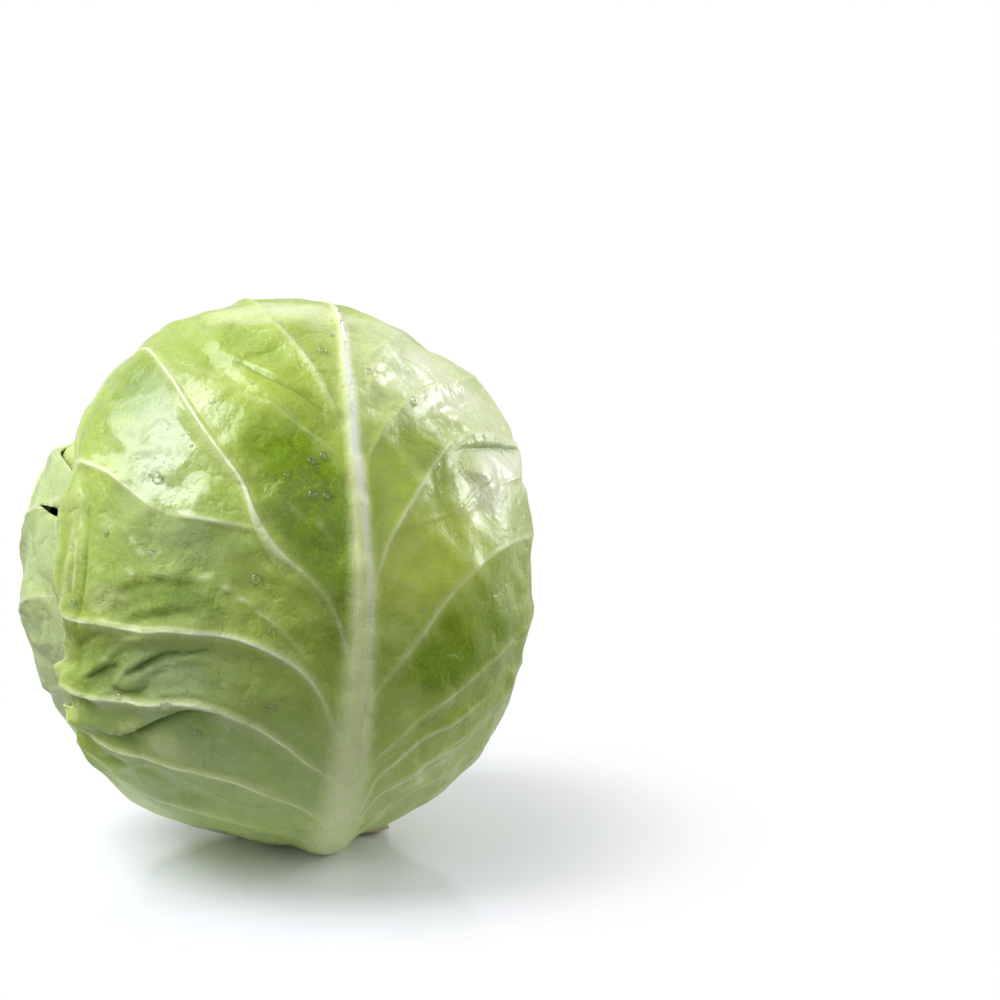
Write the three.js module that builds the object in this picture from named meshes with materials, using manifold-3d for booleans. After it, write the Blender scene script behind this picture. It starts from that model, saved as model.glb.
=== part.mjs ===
// A white cabbage head as cut for sale: five wrapper leaves folded one under the next round a dense
// heart, all growing from one short stem whose cut face the head stands on.
// Millimetres, +Z up. The origin is the centre of the cut stem face.
import * as THREE from 'three';
import Module from 'manifold-3d';
import { mergeVertices } from 'three/addons/utils/BufferGeometryUtils.js';

const wasm = await Module();
wasm.setup();

// ---- Driving dimensions, in millimetres ----
const HEAD_RADIUS = 80;
const HEAD_HALF_HEIGHT = 85.5;
const HEAD_CENTRE = new THREE.Vector3(-9, -4, 84.5);
const LEAF_THICKNESS = 0.9;
const ROW_SPACING = 16;
const LAYER_PITCH = 3.6;
const STEM_RADIUS = 14;
const CUT_CHAMFER = 1;
const CORE_TIP_RADIUS = 6;
const CORE_HEIGHT = 80;
const CORE_TIP_ROUND = 6;
const CORE_TIP_BEVEL = 3.5;
const FIT_GAP = 0.4;
const FOOT_CLEARANCE = 0.05;

// ---- How a leaf lies, in degrees seen from the middle of the head ----
const DEGREE = Math.PI / 180;
const MM_PER_DEGREE = HEAD_RADIUS * DEGREE;

// A leaf's outline, kept as its reach in so many ways round it, from so many places along its edge.
const OUTLINE_STEPS = 120;
const CLASP_PLACES = 40;
const PLACES_PER_VEIN = 12;

// The leaves under a leaf are pressed down under it, and rise back between these shares of its reach.
const MASK_INNER = 1.09;
const MASK_OUTER = 1.32;

// The edge swings out and in as a share of the leaf's width, in two waves: radians per side vein.
const EDGE_LOBE = 0.022;
const LOBE_PACE = { long: 5.1, short: 11.7 };
const SHORT_LOBE = 0.6;

// ---- Relief of a leaf, in millimetres ----
const LAMINA_SAG = 0.9;
const MARGIN_WAVE = 0.9;
const WAVE_PACE = 7.3;
const MIDRIB_HEIGHT = { base: 4.8, tip: 0.7 };
const MIDRIB_HALF_WIDTH = { base: 10.8, tip: 2.2 };
const MIDRIB_TAPER = 1.6;
const MIDRIB_REACH = 0.3;
const VEIN_START = 0.05;
const SAG_START = { from: 0.06, to: 0.3 };
const WAVE_START = 0.72;
const VEIN_HALF_WIDTH = { root: 3.2, end: 2.2 };

// Soft swellings and hollows of the whole head: azimuth and elevation in degrees, how far the
// surface moves out in millimetres, and how wide the swelling is in degrees.
const SWELLS = [
  { azimuth: 97, elevation: 28, out: 3.4, wide: 14 },
  { azimuth: 98, elevation: 44, out: 2.0, wide: 8 },
  { azimuth: -97, elevation: 31, out: -3.4, wide: 9 },
  { azimuth: -116, elevation: 67, out: 2.8, wide: 11 },
  { azimuth: -92, elevation: 5, out: -1.3, wide: 22 },
  { azimuth: -86, elevation: -50, out: 2.0, wide: 12 },
  { azimuth: 85, elevation: -48, out: 2.4, wide: 12 },
  { azimuth: 20, elevation: 10, out: 0.8, wide: 30 },
  { azimuth: 165, elevation: -20, out: 2.0, wide: 26 },
  { azimuth: -150, elevation: 25, out: -1.4, wide: 20 },
  { azimuth: 140, elevation: 45, out: -1.2, wide: 18 },
  { azimuth: -112, elevation: -76, out: 2.2, wide: 11 },
  { azimuth: -38, elevation: -68, out: -3.0, wide: 15 },
];

const clamp = (value, low, high) => Math.min(high, Math.max(low, value));
const mix = (from, to, t) => from + (to - from) * t;

function smooth(value, from, to) {
  const t = clamp((value - from) / (to - from), 0, 1);
  return t * t * (3 - 2 * t);
}

// A ridge seen end on: 1 on its line, falling to 0 at q = 1.
function ridge(q) {
  return Math.abs(q) < 1 ? (1 - q * q) ** 2 : 0;
}

// The same random draw each time for one seed.
function seeded(seed) {
  let state = seed;
  return () => {
    state = (state * 48271) % 2147483647;
    return state / 2147483647;
  };
}

// ---- The head as a whole ----

function towards(azimuth, elevation) {
  const flat = Math.cos(elevation * DEGREE);
  return new THREE.Vector3(Math.sin(azimuth * DEGREE) * flat, -Math.cos(azimuth * DEGREE) * flat,
    Math.sin(elevation * DEGREE));
}

const swells = SWELLS.map((swell) => ({ ...swell, way: towards(swell.azimuth, swell.elevation) }));

// How far the outside of the head is from its middle, the way that a unit vector points.
function headRadius(way) {
  const flat = (way.x ** 2 + way.y ** 2) / HEAD_RADIUS ** 2;
  let radius = 1 / Math.sqrt(flat + way.z ** 2 / HEAD_HALF_HEIGHT ** 2);
  for (const swell of swells) {
    const angle = Math.acos(clamp(way.dot(swell.way), -1, 1)) / DEGREE;
    radius += swell.out * Math.exp(-((angle / swell.wide) ** 2));
  }
  return radius;
}

// A radius kept short enough to stay clear of the surface that the head stands on.
function lowest(way, radius) {
  return way.z < 0 ? Math.min(radius, (HEAD_CENTRE.z - FOOT_CLEARANCE) / -way.z) : radius;
}

function placeAt(way, radius) {
  return way.clone().multiplyScalar(radius).add(HEAD_CENTRE);
}

// ---- The frame of one leaf: x and y degrees from its middle, y towards its tip ----

function leafFrame(azimuth) {
  const out = towards(azimuth, 0);
  return { out, side: new THREE.Vector3(-out.y, out.x, 0), up: new THREE.Vector3(0, 0, 1) };
}

function leafWay(frame, x, y) {
  const reach = Math.hypot(x, y) || 1e-9;
  const turn = Math.sin(reach * DEGREE) / reach;
  return frame.out.clone().multiplyScalar(Math.cos(reach * DEGREE))
    .addScaledVector(frame.side, turn * x).addScaledVector(frame.up, turn * y);
}

function leafPolar(frame, way) {
  return {
    reach: Math.acos(clamp(way.dot(frame.out), -1, 1)) / DEGREE,
    turn: Math.atan2(way.dot(frame.up), way.dot(frame.side)),
  };
}

// ---- Curves through points chosen by hand ----

function catmull(p, t) {
  return 0.5 * (2 * p[1] + (p[2] - p[0]) * t + (2 * p[0] - 5 * p[1] + 4 * p[2] - p[3]) * t * t
    + (3 * p[1] - p[0] - 3 * p[2] + p[3]) * t * t * t);
}

// The four values round one step of a list, carried on straight past its ends.
function around(list, index) {
  const at = (i) => {
    if (i < 0) return 2 * list[0] - list[1];
    if (i >= list.length) return 2 * list[list.length - 1] - list[list.length - 2];
    return list[i];
  };
  return [at(index - 1), at(index), at(index + 1), at(index + 2)];
}

// The point at a fraction of the way along a smooth line through points.
function along(points, fraction) {
  const lengths = [0];
  for (let i = 1; i < points.length; i += 1) {
    const step = Math.hypot(points[i][0] - points[i - 1][0], points[i][1] - points[i - 1][1]);
    lengths.push(lengths[i - 1] + step);
  }
  const wanted = fraction * lengths[lengths.length - 1];
  let index = 0;
  while (index < points.length - 2 && lengths[index + 1] < wanted) index += 1;
  const t = (wanted - lengths[index]) / (lengths[index + 1] - lengths[index]);
  return [0, 1].map((axis) => catmull(around(points.map((point) => point[axis]), index), t));
}

// The x of a midrib at a height y, from its points in order of y.
function midribX(midrib, y) {
  let index = 0;
  while (index < midrib.length - 2 && midrib[index + 1][1] < y) index += 1;
  const t = (y - midrib[index][1]) / (midrib[index + 1][1] - midrib[index][1]);
  return catmull(around(midrib.map((point) => point[0]), index), clamp(t, -0.5, 1.5));
}

// ---- A leaf as a net of side veins on both sides of its midrib ----
// Line 0 is the free lower margin, the last line runs on from the midrib to the tip, and the lines
// between them are side veins. A place on the net is a side, a share a of the way from midrib to
// margin, and a line number v.

function sideLine(leaf, side, index) {
  const root = leaf.roots[index];
  return [[midribX(leaf.midrib, root), root], ...leaf.lines[side][index]];
}

function prepareLeaf(leaf) {
  const last = leaf.roots.length - 1;
  const prepared = { ...leaf, last, frame: leafFrame(leaf.azimuth) };
  prepared.full = ['left', 'right'].reduce((sides, side) => {
    sides[side] = leaf.roots.map((_, index) => sideLine(leaf, side, index));
    return sides;
  }, {});
  prepared.outline = outlineReach(prepared);
  return prepared;
}

function netOffset(leaf, side, index, a) {
  const line = leaf.full[side][index];
  const point = along(line, a);
  return [point[0] - line[0][0], point[1] - line[0][1]];
}

function netPoint(leaf, side, share, v) {
  const lobe = Math.sin(v * LOBE_PACE.long + leaf.seed)
    + SHORT_LOBE * Math.sin(v * LOBE_PACE.short + 2 * leaf.seed);
  const a = share * (1 + EDGE_LOBE * lobe * smooth(share, 0.6, 1) * smooth(v, 0.5, 1.5));
  const index = Math.min(Math.floor(v), leaf.last - 1);
  const from = Math.max(index - 1, 0);
  const to = Math.min(index + 2, leaf.last);
  const offsets = [];
  for (let i = from; i <= to; i += 1) offsets.push(netOffset(leaf, side, i, a));
  const local = index - from;
  const y = catmull(around(leaf.roots, index), v - index);
  const [dx, dy] = [0, 1].map((axis) => catmull(around(offsets.map((o) => o[axis]), local), v - index));
  return [midribX(leaf.midrib, y) + dx, y + dy];
}

// How far the leaf's edge is from its middle, for each of a number of ways round it.
function outlineReach(leaf) {
  const edge = [];
  const veins = PLACES_PER_VEIN * leaf.last;
  for (const side of ['left', 'right']) {
    for (let i = 0; i <= CLASP_PLACES; i += 1) edge.push(netPoint(leaf, side, i / CLASP_PLACES, 0));
    for (let i = 1; i <= veins; i += 1) edge.push(netPoint(leaf, side, 1, i / PLACES_PER_VEIN));
  }
  const polar = edge.map(([x, y]) => ({ turn: Math.atan2(y, x), reach: Math.hypot(x, y) }));
  polar.sort((p, q) => p.turn - q.turn);
  const reaches = [];
  for (let i = 0; i < OUTLINE_STEPS; i += 1) {
    const turn = -Math.PI + (2 * Math.PI * i) / OUTLINE_STEPS;
    let next = polar.findIndex((p) => p.turn >= turn);
    if (next < 0) next = 0;
    const before = polar[(next + polar.length - 1) % polar.length];
    const after = polar[next];
    const span = (after.turn - before.turn + 2 * Math.PI) % (2 * Math.PI) || 1;
    const part = ((turn - before.turn + 2 * Math.PI) % (2 * Math.PI)) / span;
    reaches.push(mix(before.reach, after.reach, clamp(part, 0, 1)));
  }
  return reaches;
}

// 1 under a leaf, falling to 0 a little way outside its edge.
function cover(leaf, way) {
  const { reach, turn } = leafPolar(leaf.frame, way);
  const place = ((turn + Math.PI) / (2 * Math.PI)) * leaf.outline.length;
  const index = Math.floor(place) % leaf.outline.length;
  const edge = mix(leaf.outline[index], leaf.outline[(index + 1) % leaf.outline.length], place % 1);
  return 1 - smooth(reach / edge, MASK_INNER, MASK_OUTER);
}

// ---- The leaves, outermost first ----

// The front leaf, whose veins are each placed by hand: [x, y] in degrees in the leaf's frame.
const FRONT_LEAF = {
  name: 'wrapper_leaf_1',
  azimuth: 16,
  seed: 11,
  midrib: [[10, -84], [7.8, -74], [5, -60], [3.9, -40], [3.4, -20], [4.4, 0], [5.4, 20], [6.8, 40],
    [9.8, 60], [16, 80], [20, 94]],
  roots: [-84, -66, -52, -43, -32, -19, -9, 22, 35, 76],
  lines: {
    left: [
      [[0, -92], [-18, -89], [-38, -79], [-54, -63], [-65, -49]],
      [[-8, -58], [-25, -53], [-42, -51], [-58, -48], [-69, -43]],
      [[-12, -40], [-26, -35.5], [-40, -34.5], [-55, -36], [-70, -34.5]],
      [[1, -36], [-6, -29.5], [-18, -20], [-30, -15.5], [-44, -18], [-60, -21], [-69, -20.5]],
      [[-1, -19.5], [-7.5, -8], [-19, -1], [-33.5, 0.7], [-43, -0.3], [-53, 0], [-62, -0.8],
        [-69.5, 0.5]],
      [[1, -9], [-5, 1], [-11, 10], [-17, 19], [-24.5, 24.2], [-32.5, 25.7], [-39.5, 28.3],
        [-50.5, 36.5], [-60, 40.5], [-69.5, 43.5]],
      [[1.5, -3], [-1, 5], [-5.5, 11.5], [-12, 18], [-16, 25], [-18.5, 32.5], [-24, 41.5],
        [-27.5, 47.5], [-35, 62.5], [-42.5, 75], [-53, 83]],
      [[3, 33], [-3, 43], [-10, 52], [-17, 63], [-24, 75], [-32, 92]],
      [[5.8, 41], [3.4, 50.5], [1.2, 58], [-1.3, 66], [-5, 76], [-9, 98]],
      [[17, 83], [18.5, 92], [20, 101]],
    ],
    right: [
      [[21, -92], [38, -84], [54, -68], [64, -52]],
      [[20, -60], [34, -54], [48, -48], [60, -42], [68, -37]],
      [[9, -45], [21.5, -37.5], [34, -33], [50, -28], [69, -23]],
      [[7.5, -34], [14.5, -26], [27, -18.5], [45, -12], [70, -8]],
      [[5.6, -19], [9.5, -11.5], [17.8, -3], [29, 7], [46, 13], [72, 13]],
      [[6.2, -8], [8.5, 2], [13, 11], [20, 18], [29, 22], [46, 28], [73, 29]],
      [[5.9, 1], [7.7, 9.5], [10.3, 15.6], [13.6, 21], [18, 26], [24, 32], [34, 39.5], [46, 40.8],
        [59, 39.5], [75, 36]],
      [[8.6, 34], [15, 42.5], [24.5, 49.5], [35.5, 54.5], [47, 57], [62, 60], [72, 62]],
      [[10.6, 46], [17, 58], [28, 69], [42, 78], [56, 90]],
      [[17, 83], [18.5, 92], [20, 101]],
    ],
  },
  // Height of each side vein in millimetres at its root and at its end.
  veins: {
    left: [[0, 0], [1.2, 0.4], [1.8, 0.8], [2.2, 1.3], [2.4, 1.3], [0.2, 1.4], [2.6, 1.0], [1.2, 0.5],
      [1.8, 0.6], [0.8, 0.3]],
    right: [[0, 0], [1.0, 0.4], [1.3, 0.4], [1.5, 0.4], [1.5, 0.5], [0.3, 0.8], [1.6, 1.6], [1.4, 0.8],
      [1.0, 0.5], [0.8, 0.3]],
  },
  shares: [0.1, 0.22, 0.36, 0.52, 0.68, 0.84, 0.94, 1],
};

// The leaves under it: where each lies round the head, how far up its tip reaches, half its width
// and how far its midrib bends sideways, all in degrees.
const UNDER_LEAVES = [
  { azimuth: 170, tip: 92, halfWidth: 68, bend: -10, seed: 23 },
  { azimuth: -104, tip: 32.5, halfWidth: 62, bend: 6, seed: 37 },
  { azimuth: 97, tip: 66, halfWidth: 62, bend: 9, seed: 41 },
  { azimuth: -140, tip: 92, halfWidth: 62, bend: 8, seed: 59 },
];

// One pattern of growth for those leaves, as shares of their length and half width.
const VEIN_ROOTS = [0, 0.1, 0.22, 0.36, 0.51, 0.66, 0.84];
const VEIN_ENDS = [0, 0.25, 0.42, 0.59, 0.78, 0.96];
const VEIN_SPREAD = [0, 0.96, 1.0, 0.98, 0.95, 0.86];
const VEIN_RISE = 1.9;
const VEIN_PLACES = [0.15, 0.35, 0.6, 0.8, 1];
const VEIN_BEND = 1.3;
const UNEVEN = { spread: 0.05, rise: 0.02, place: 1.2 };
const MIDRIB_PLACES = [0, 0.25, 0.5, 0.75, 1];
const LEAF_FOOT_INSIDE = 4;

// The free lower edge of a leaf of this half width, from the foot of its midrib out to one side.
const CLASP = [[10, -9], [26, -7], [42, 3], [53, 16]];
const CLASP_HALF_WIDTH = 62;

function growLeaf(shape, index) {
  const draw = seeded(shape.seed);
  const jitter = (amount) => (draw() * 2 - 1) * amount;
  const stemPolar = leafPolar(leafFrame(shape.azimuth), HEAD_CENTRE.clone().negate().normalize());
  const foot = [stemPolar.reach * Math.cos(stemPolar.turn), stemPolar.reach * Math.sin(stemPolar.turn)];
  const base = [foot[0], foot[1] + (STEM_RADIUS - LEAF_FOOT_INSIDE) / MM_PER_DEGREE];
  const length = shape.tip - base[1];
  const midrib = MIDRIB_PLACES.map((share) => [
    mix(base[0], shape.bend, smooth(share, 0, 0.5)) + shape.bend * share * share,
    base[1] + length * share,
  ]);
  const roots = VEIN_ROOTS.map((share) => base[1] + length * share);
  const lines = { left: [], right: [] };
  for (const side of ['left', 'right']) {
    const hand = side === 'left' ? -1 : 1;
    const wider = hand * shape.halfWidth / CLASP_HALF_WIDTH;
    lines[side].push(CLASP.map(([x, y]) => [base[0] + wider * x, base[1] + y]));
    for (let i = 1; i < VEIN_ENDS.length; i += 1) {
      const endX = shape.halfWidth * VEIN_SPREAD[i] * (1 + jitter(UNEVEN.spread));
      const rise = base[1] + length * (VEIN_ENDS[i] + jitter(UNEVEN.rise)) - roots[i];
      const startX = midribX(midrib, roots[i]);
      lines[side].push(VEIN_PLACES.map((t) => [
        startX + (hand * endX + shape.bend * 0.5 - startX) * t ** VEIN_BEND,
        roots[i] + rise * (1 - (1 - t) ** VEIN_RISE) + jitter(UNEVEN.place),
      ]));
    }
    const tipRoot = roots[roots.length - 1];
    lines[side].push([0.5, 1].map((t) => {
      const y = mix(tipRoot, shape.tip, t);
      return [midribX(midrib, y), y];
    }));
  }
  const heights = roots.map((_, i) => (i === 0 ? [0, 0] : [1.9 - 0.15 * i, 0.7]));
  return {
    name: `wrapper_leaf_${index + 2}`,
    azimuth: shape.azimuth,
    seed: shape.seed,
    midrib,
    roots,
    lines,
    veins: { left: heights, right: heights },
    shares: [0.16, 0.34, 0.52, 0.7, 0.86, 1],
  };
}

const leaves = [FRONT_LEAF, ...UNDER_LEAVES.map(growLeaf)].map(prepareLeaf);

// ---- From the net to a solid blade ----

const WIDE_SHARE = 0.85;
const MIDRIB_COLUMNS = [0.55, 1.1];
const WIDEST_COLUMNS = [0.12, 0.21];
const WIDEST_VEIN = 0.34;

// Rows across one blade: on each vein, at both its feet, and one to three between it and the next.
function rowPlaces(leaf) {
  const rows = [];
  for (let i = 0; i < leaf.last; i += 1) {
    const widest = Math.max(pitch(leaf, 'left', i, WIDE_SHARE), pitch(leaf, 'right', i, WIDE_SHARE));
    const between = clamp(Math.round(widest / ROW_SPACING) - 1, 1, 3);
    rows.push({ line: i, foot: 0 }, { line: i, foot: 1 });
    for (let j = 1; j <= between; j += 1) rows.push({ line: i, between: j / (between + 1) });
    rows.push({ line: i + 1, foot: -1 });
  }
  rows.push({ line: leaf.last, foot: 0 });
  return rows;
}

// Millimetres between line i and the next one, a share a of the way out.
function pitch(leaf, side, i, a) {
  const from = netPoint(leaf, side, a, clamp(i, 0, leaf.last));
  const to = netPoint(leaf, side, a, clamp(i + 1, 0, leaf.last));
  return Math.max(1, Math.hypot(to[0] - from[0], to[1] - from[1]) * MM_PER_DEGREE);
}

function veinWidth(a) {
  return mix(VEIN_HALF_WIDTH.root, VEIN_HALF_WIDTH.end, a);
}

function rowLine(leaf, side, row, a) {
  if (row.between) return row.line + row.between;
  if (!row.foot) return row.line;
  const gap = pitch(leaf, side, row.foot > 0 ? row.line : row.line - 1, a);
  return row.line + row.foot * Math.min(WIDEST_VEIN, veinWidth(a) / gap);
}

function midribSize(leaf, y) {
  const low = leaf.roots[0];
  const high = leaf.midrib[leaf.midrib.length - 1][1];
  const taper = (1 - clamp((y - low) / (high - low), 0, 1)) ** MIDRIB_TAPER;
  return {
    height: mix(MIDRIB_HEIGHT.tip, MIDRIB_HEIGHT.base, taper),
    width: mix(MIDRIB_HALF_WIDTH.tip, MIDRIB_HALF_WIDTH.base, taper),
  };
}

// Shares out from the midrib: two columns follow the midrib's own width, the rest fill the blade.
function columnShares(leaf, side, v) {
  const start = netPoint(leaf, side, 0, v);
  const end = netPoint(leaf, side, 1, v);
  const length = Math.hypot(end[0] - start[0], end[1] - start[1]) * MM_PER_DEGREE;
  const { width } = midribSize(leaf, start[1]);
  const feet = MIDRIB_COLUMNS.map((share, i) => Math.min(WIDEST_COLUMNS[i], (share * width) / length));
  return [0, ...feet, ...leaf.shares.map((share) => mix(feet[1], 1, share))];
}

// How far the surface of a blade stands out from the head, with its midrib, veins and waved edge.
function relief(leaf, side, a, v, point) {
  const below = Math.min(Math.floor(v), leaf.last - 1);
  const line = Math.round(v);
  const { height, width } = midribSize(leaf, catmull(around(leaf.roots, below), v - below));
  const fromMidrib = Math.abs(point[0] - midribX(leaf.midrib, point[1])) * MM_PER_DEGREE;
  const midribRise = a < MIDRIB_REACH ? height * ridge(fromMidrib / width) : 0;
  const [rootHeight, endHeight] = leaf.veins[side][line];
  const fromVein = Math.abs(v - line) * pitch(leaf, side, below, a);
  const veinRise = mix(rootHeight, endHeight, a) * ridge(fromVein / veinWidth(a)) * smooth(a, 0, VEIN_START);
  const sag = LAMINA_SAG * Math.sin(Math.PI * (v % 1)) ** 2 * smooth(a, SAG_START.from, SAG_START.to);
  const wave = MARGIN_WAVE * Math.sin(v * WAVE_PACE + leaf.seed) * smooth(a, WAVE_START, 1);
  return Math.max(midribRise, veinRise) - sag * (1 - midribRise / MIDRIB_HEIGHT.base) + wave;
}

function bladePoints(leaf, outer, side, a, v) {
  const point = netPoint(leaf, side, a, v);
  const way = leafWay(leaf.frame, point[0], point[1]);
  let depth = 0;
  let open = 1;
  for (const other of outer) {
    const covered = cover(other, way);
    depth += LAYER_PITCH * covered;
    open *= 1 - covered;
  }
  const base = lowest(way, headRadius(way) - depth);
  const top = lowest(way, base + relief(leaf, side, a, v, point) * open);
  const hollow = Math.min(0, top - base);
  return [placeAt(way, top), placeAt(way, base + hollow - LEAF_THICKNESS)];
}

// Both faces have the same triangles, and a rim closes the edge.
function bladeGeometry(leaf, outer) {
  const rows = rowPlaces(leaf);
  const columns = leaf.shares.length + 3;
  const tops = [];
  const bottoms = [];
  const numbers = new Map();
  const number = (side, row, column) => {
    const shared = column === 0 || row === rows.length - 1;
    const key = `${shared ? 'shared' : side} ${row} ${column}`;
    if (!numbers.has(key)) {
      const v = rowLine(leaf, side, rows[row], 0.5);
      const a = columnShares(leaf, side, v)[column];
      const exact = rowLine(leaf, side, rows[row], a);
      const [top, bottom] = bladePoints(leaf, outer, side, a, column === 0 ? v : exact);
      numbers.set(key, tops.length);
      tops.push(top);
      bottoms.push(bottom);
    }
    return numbers.get(key);
  };
  const faces = [];
  for (const side of ['left', 'right']) {
    for (let row = 0; row < rows.length - 1; row += 1) {
      for (let column = 0; column < columns - 1; column += 1) {
        const corners = [number(side, row, column), number(side, row, column + 1),
          number(side, row + 1, column + 1), number(side, row + 1, column)];
        if (side === 'left') corners.reverse();
        faces.push([corners[0], corners[1], corners[2]], [corners[0], corners[2], corners[3]]);
      }
    }
  }
  const once = new Map();
  for (const face of faces) {
    for (let i = 0; i < 3; i += 1) {
      const [from, to] = [face[i], face[(i + 1) % 3]];
      if (once.has(`${to} ${from}`)) once.delete(`${to} ${from}`);
      else once.set(`${from} ${to}`, [from, to]);
    }
  }
  const count = tops.length;
  const index = [];
  for (const [a, b, c] of faces) index.push(a, b, c, a + count, c + count, b + count);
  for (const [from, to] of once.values()) {
    index.push(from, from + count, to + count, from, to + count, to);
  }
  const geometry = new THREE.BufferGeometry();
  const places = [...tops, ...bottoms].flatMap((p) => [p.x, p.y, p.z]);
  geometry.setAttribute('position', new THREE.Float32BufferAttribute(places, 3));
  geometry.setIndex(index);
  return geometry;
}

// ---- Solids ----

function toSolid(geometry) {
  const bare = geometry.clone();
  bare.deleteAttribute('normal');
  bare.deleteAttribute('uv');
  const merged = mergeVertices(bare);
  return new wasm.Manifold(new wasm.Mesh({
    numProp: 3,
    vertProperties: new Float32Array(merged.attributes.position.array),
    triVerts: new Uint32Array(merged.index.array),
  }));
}

function toGeometry(solid) {
  const { numProp, vertProperties, triVerts } = solid.getMesh();
  const geometry = new THREE.BufferGeometry();
  const places = [];
  for (let i = 0; i < vertProperties.length; i += numProp) places.push(...vertProperties.slice(i, i + 3));
  geometry.setAttribute('position', new THREE.Float32BufferAttribute(places, 3));
  geometry.setIndex([...triVerts]);
  return geometry;
}

function lathe(profile, segments) {
  const points = profile.map(([radius, height]) => new THREE.Vector2(radius, height));
  return new THREE.LatheGeometry(points, segments).rotateX(Math.PI / 2);
}

// ---- Stem: the cut stalk, running up into the heart as its core ----

const STEM_PROFILE = [
  [0, 0],
  [STEM_RADIUS - CUT_CHAMFER, 0],
  [STEM_RADIUS, CUT_CHAMFER],
  [STEM_RADIUS, 20],
  [STEM_RADIUS - 2, 36],
  [STEM_RADIUS - 5, 58],
  [CORE_TIP_RADIUS, CORE_HEIGHT - CORE_TIP_ROUND],
  [CORE_TIP_RADIUS - CORE_TIP_BEVEL, CORE_HEIGHT],
  [0, CORE_HEIGHT],
];
const STEM_SEGMENTS = 36;

// What is left of older leaves cut off at the stem: azimuth in degrees, then millimetres.
const STUBS = [
  { azimuth: 92, reach: 23, width: 12, thick: 2.2, rise: 1.6 },
  { azimuth: -112, reach: 20, width: 12, thick: 2.0, rise: 1.0 },
  { azimuth: 205, reach: 21, width: 13, thick: 2.0, rise: 1.2 },
];
const STUB_STEPS = 5;
const STUB_ROOT_INSIDE = 3;
const STUB_START_OUTSIDE = 2;
const STUB_UNDERSIDE = 0.6;
const STUB_UNDER_RISE = 0.2;
const STUB_ROOT_STEP = 0.8;
const STUB_END = { back: 0.8, thinned: 0.6 };
const STUB_BENDS = { under: 0.7, over: 0.5 };

// One stub seen from its side, curling up to a cut end, made larger all round by a gap.
function stubGeometry({ azimuth, reach, width, thick, rise }, gap) {
  const outline = new THREE.Shape();
  const inner = STEM_RADIUS - STUB_ROOT_INSIDE;
  const under = STUB_UNDERSIDE - gap;
  const over = STUB_ROOT_STEP + thick + gap;
  const end = reach + gap;
  outline.moveTo(inner, under);
  outline.lineTo(STEM_RADIUS + STUB_START_OUTSIDE, under);
  outline.quadraticCurveTo(mix(STEM_RADIUS, reach, STUB_BENDS.under), under + STUB_UNDER_RISE,
    end, rise - gap);
  outline.lineTo(end - STUB_END.back, rise + thick * STUB_END.thinned + gap);
  outline.quadraticCurveTo(mix(STEM_RADIUS, reach, STUB_BENDS.over), over, inner, over);
  outline.closePath();
  const geometry = new THREE.ExtrudeGeometry(outline, {
    depth: width + 2 * gap, steps: 1, bevelEnabled: false, curveSegments: STUB_STEPS,
  });
  geometry.translate(0, 0, -width / 2 - gap).rotateX(Math.PI / 2);
  return geometry.rotateZ((azimuth - 90) * DEGREE);
}

function withStubs(stalk, gap) {
  return STUBS.reduce((solid, stub) => solid.add(toSolid(stubGeometry(stub, gap))), stalk);
}

function stemSolid() {
  return withStubs(toSolid(lathe(STEM_PROFILE, STEM_SEGMENTS)), 0);
}

// The room that the stem takes in the leaves and the heart.
function stemRoom() {
  const grown = STEM_PROFILE.map(([radius, height]) => [
    radius ? radius + FIT_GAP : 0,
    height > CUT_CHAMFER ? height + FIT_GAP : height - FIT_GAP,
  ]);
  return withStubs(toSolid(lathe(grown, STEM_SEGMENTS)), FIT_GAP);
}

// ---- Heart: the dense ball of inner leaves, with their edges raised on it ----

const HEART_STEPS = { round: 36, down: 20 };
const HEART_CLEARANCE = 1.2;
const HEART_EDGE_WIDTH = 6;
const HEART_EDGES = [
  { azimuth: -60, elevation: 62, reach: 62, step: 0.9 },
  { azimuth: 150, elevation: 35, reach: 70, step: 0.8 },
];

function heartRadius(way) {
  let radius = headRadius(way) - LEAF_THICKNESS;
  let open = 1;
  for (const leaf of leaves) {
    const covered = cover(leaf, way);
    radius -= LAYER_PITCH * covered;
    open *= 1 - covered;
  }
  for (const edge of HEART_EDGES) {
    const angle = Math.acos(clamp(way.dot(towards(edge.azimuth, edge.elevation)), -1, 1)) / DEGREE;
    radius -= open * edge.step * smooth(angle, edge.reach, edge.reach + HEART_EDGE_WIDTH);
  }
  return radius + LEAF_THICKNESS - HEART_CLEARANCE;
}

function heartGeometry() {
  const ball = new THREE.SphereGeometry(1, HEART_STEPS.round, HEART_STEPS.down).rotateX(Math.PI / 2);
  const places = ball.attributes.position;
  for (let i = 0; i < places.count; i += 1) {
    const way = new THREE.Vector3().fromBufferAttribute(places, i).normalize();
    const place = placeAt(way, heartRadius(way));
    places.setXYZ(i, place.x, place.y, place.z);
  }
  return ball;
}

// ---- The finished head ----

const LEAF_COLOURS = ['#b7cf72', '#c3d887', '#cfe09b', '#c6da8b', '#d2e3a0'];

function piece(name, geometry, colour, roughness) {
  const material = new THREE.MeshStandardMaterial({ color: colour, roughness, metalness: 0 });
  const mesh = new THREE.Mesh(geometry, material);
  mesh.name = name;
  return mesh;
}

const room = stemRoom();
const group = new THREE.Group();
group.add(piece('stem', toGeometry(stemSolid()), '#dfe6b8', 0.6));
group.add(piece('heart', toGeometry(toSolid(heartGeometry()).subtract(room)), '#e3ecbd', 0.45));
leaves.forEach((leaf, index) => {
  const blade = toSolid(bladeGeometry(leaf, leaves.slice(0, index))).subtract(room);
  group.add(piece(leaf.name, toGeometry(blade), LEAF_COLOURS[index], 0.4));
});

export default group;
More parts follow.
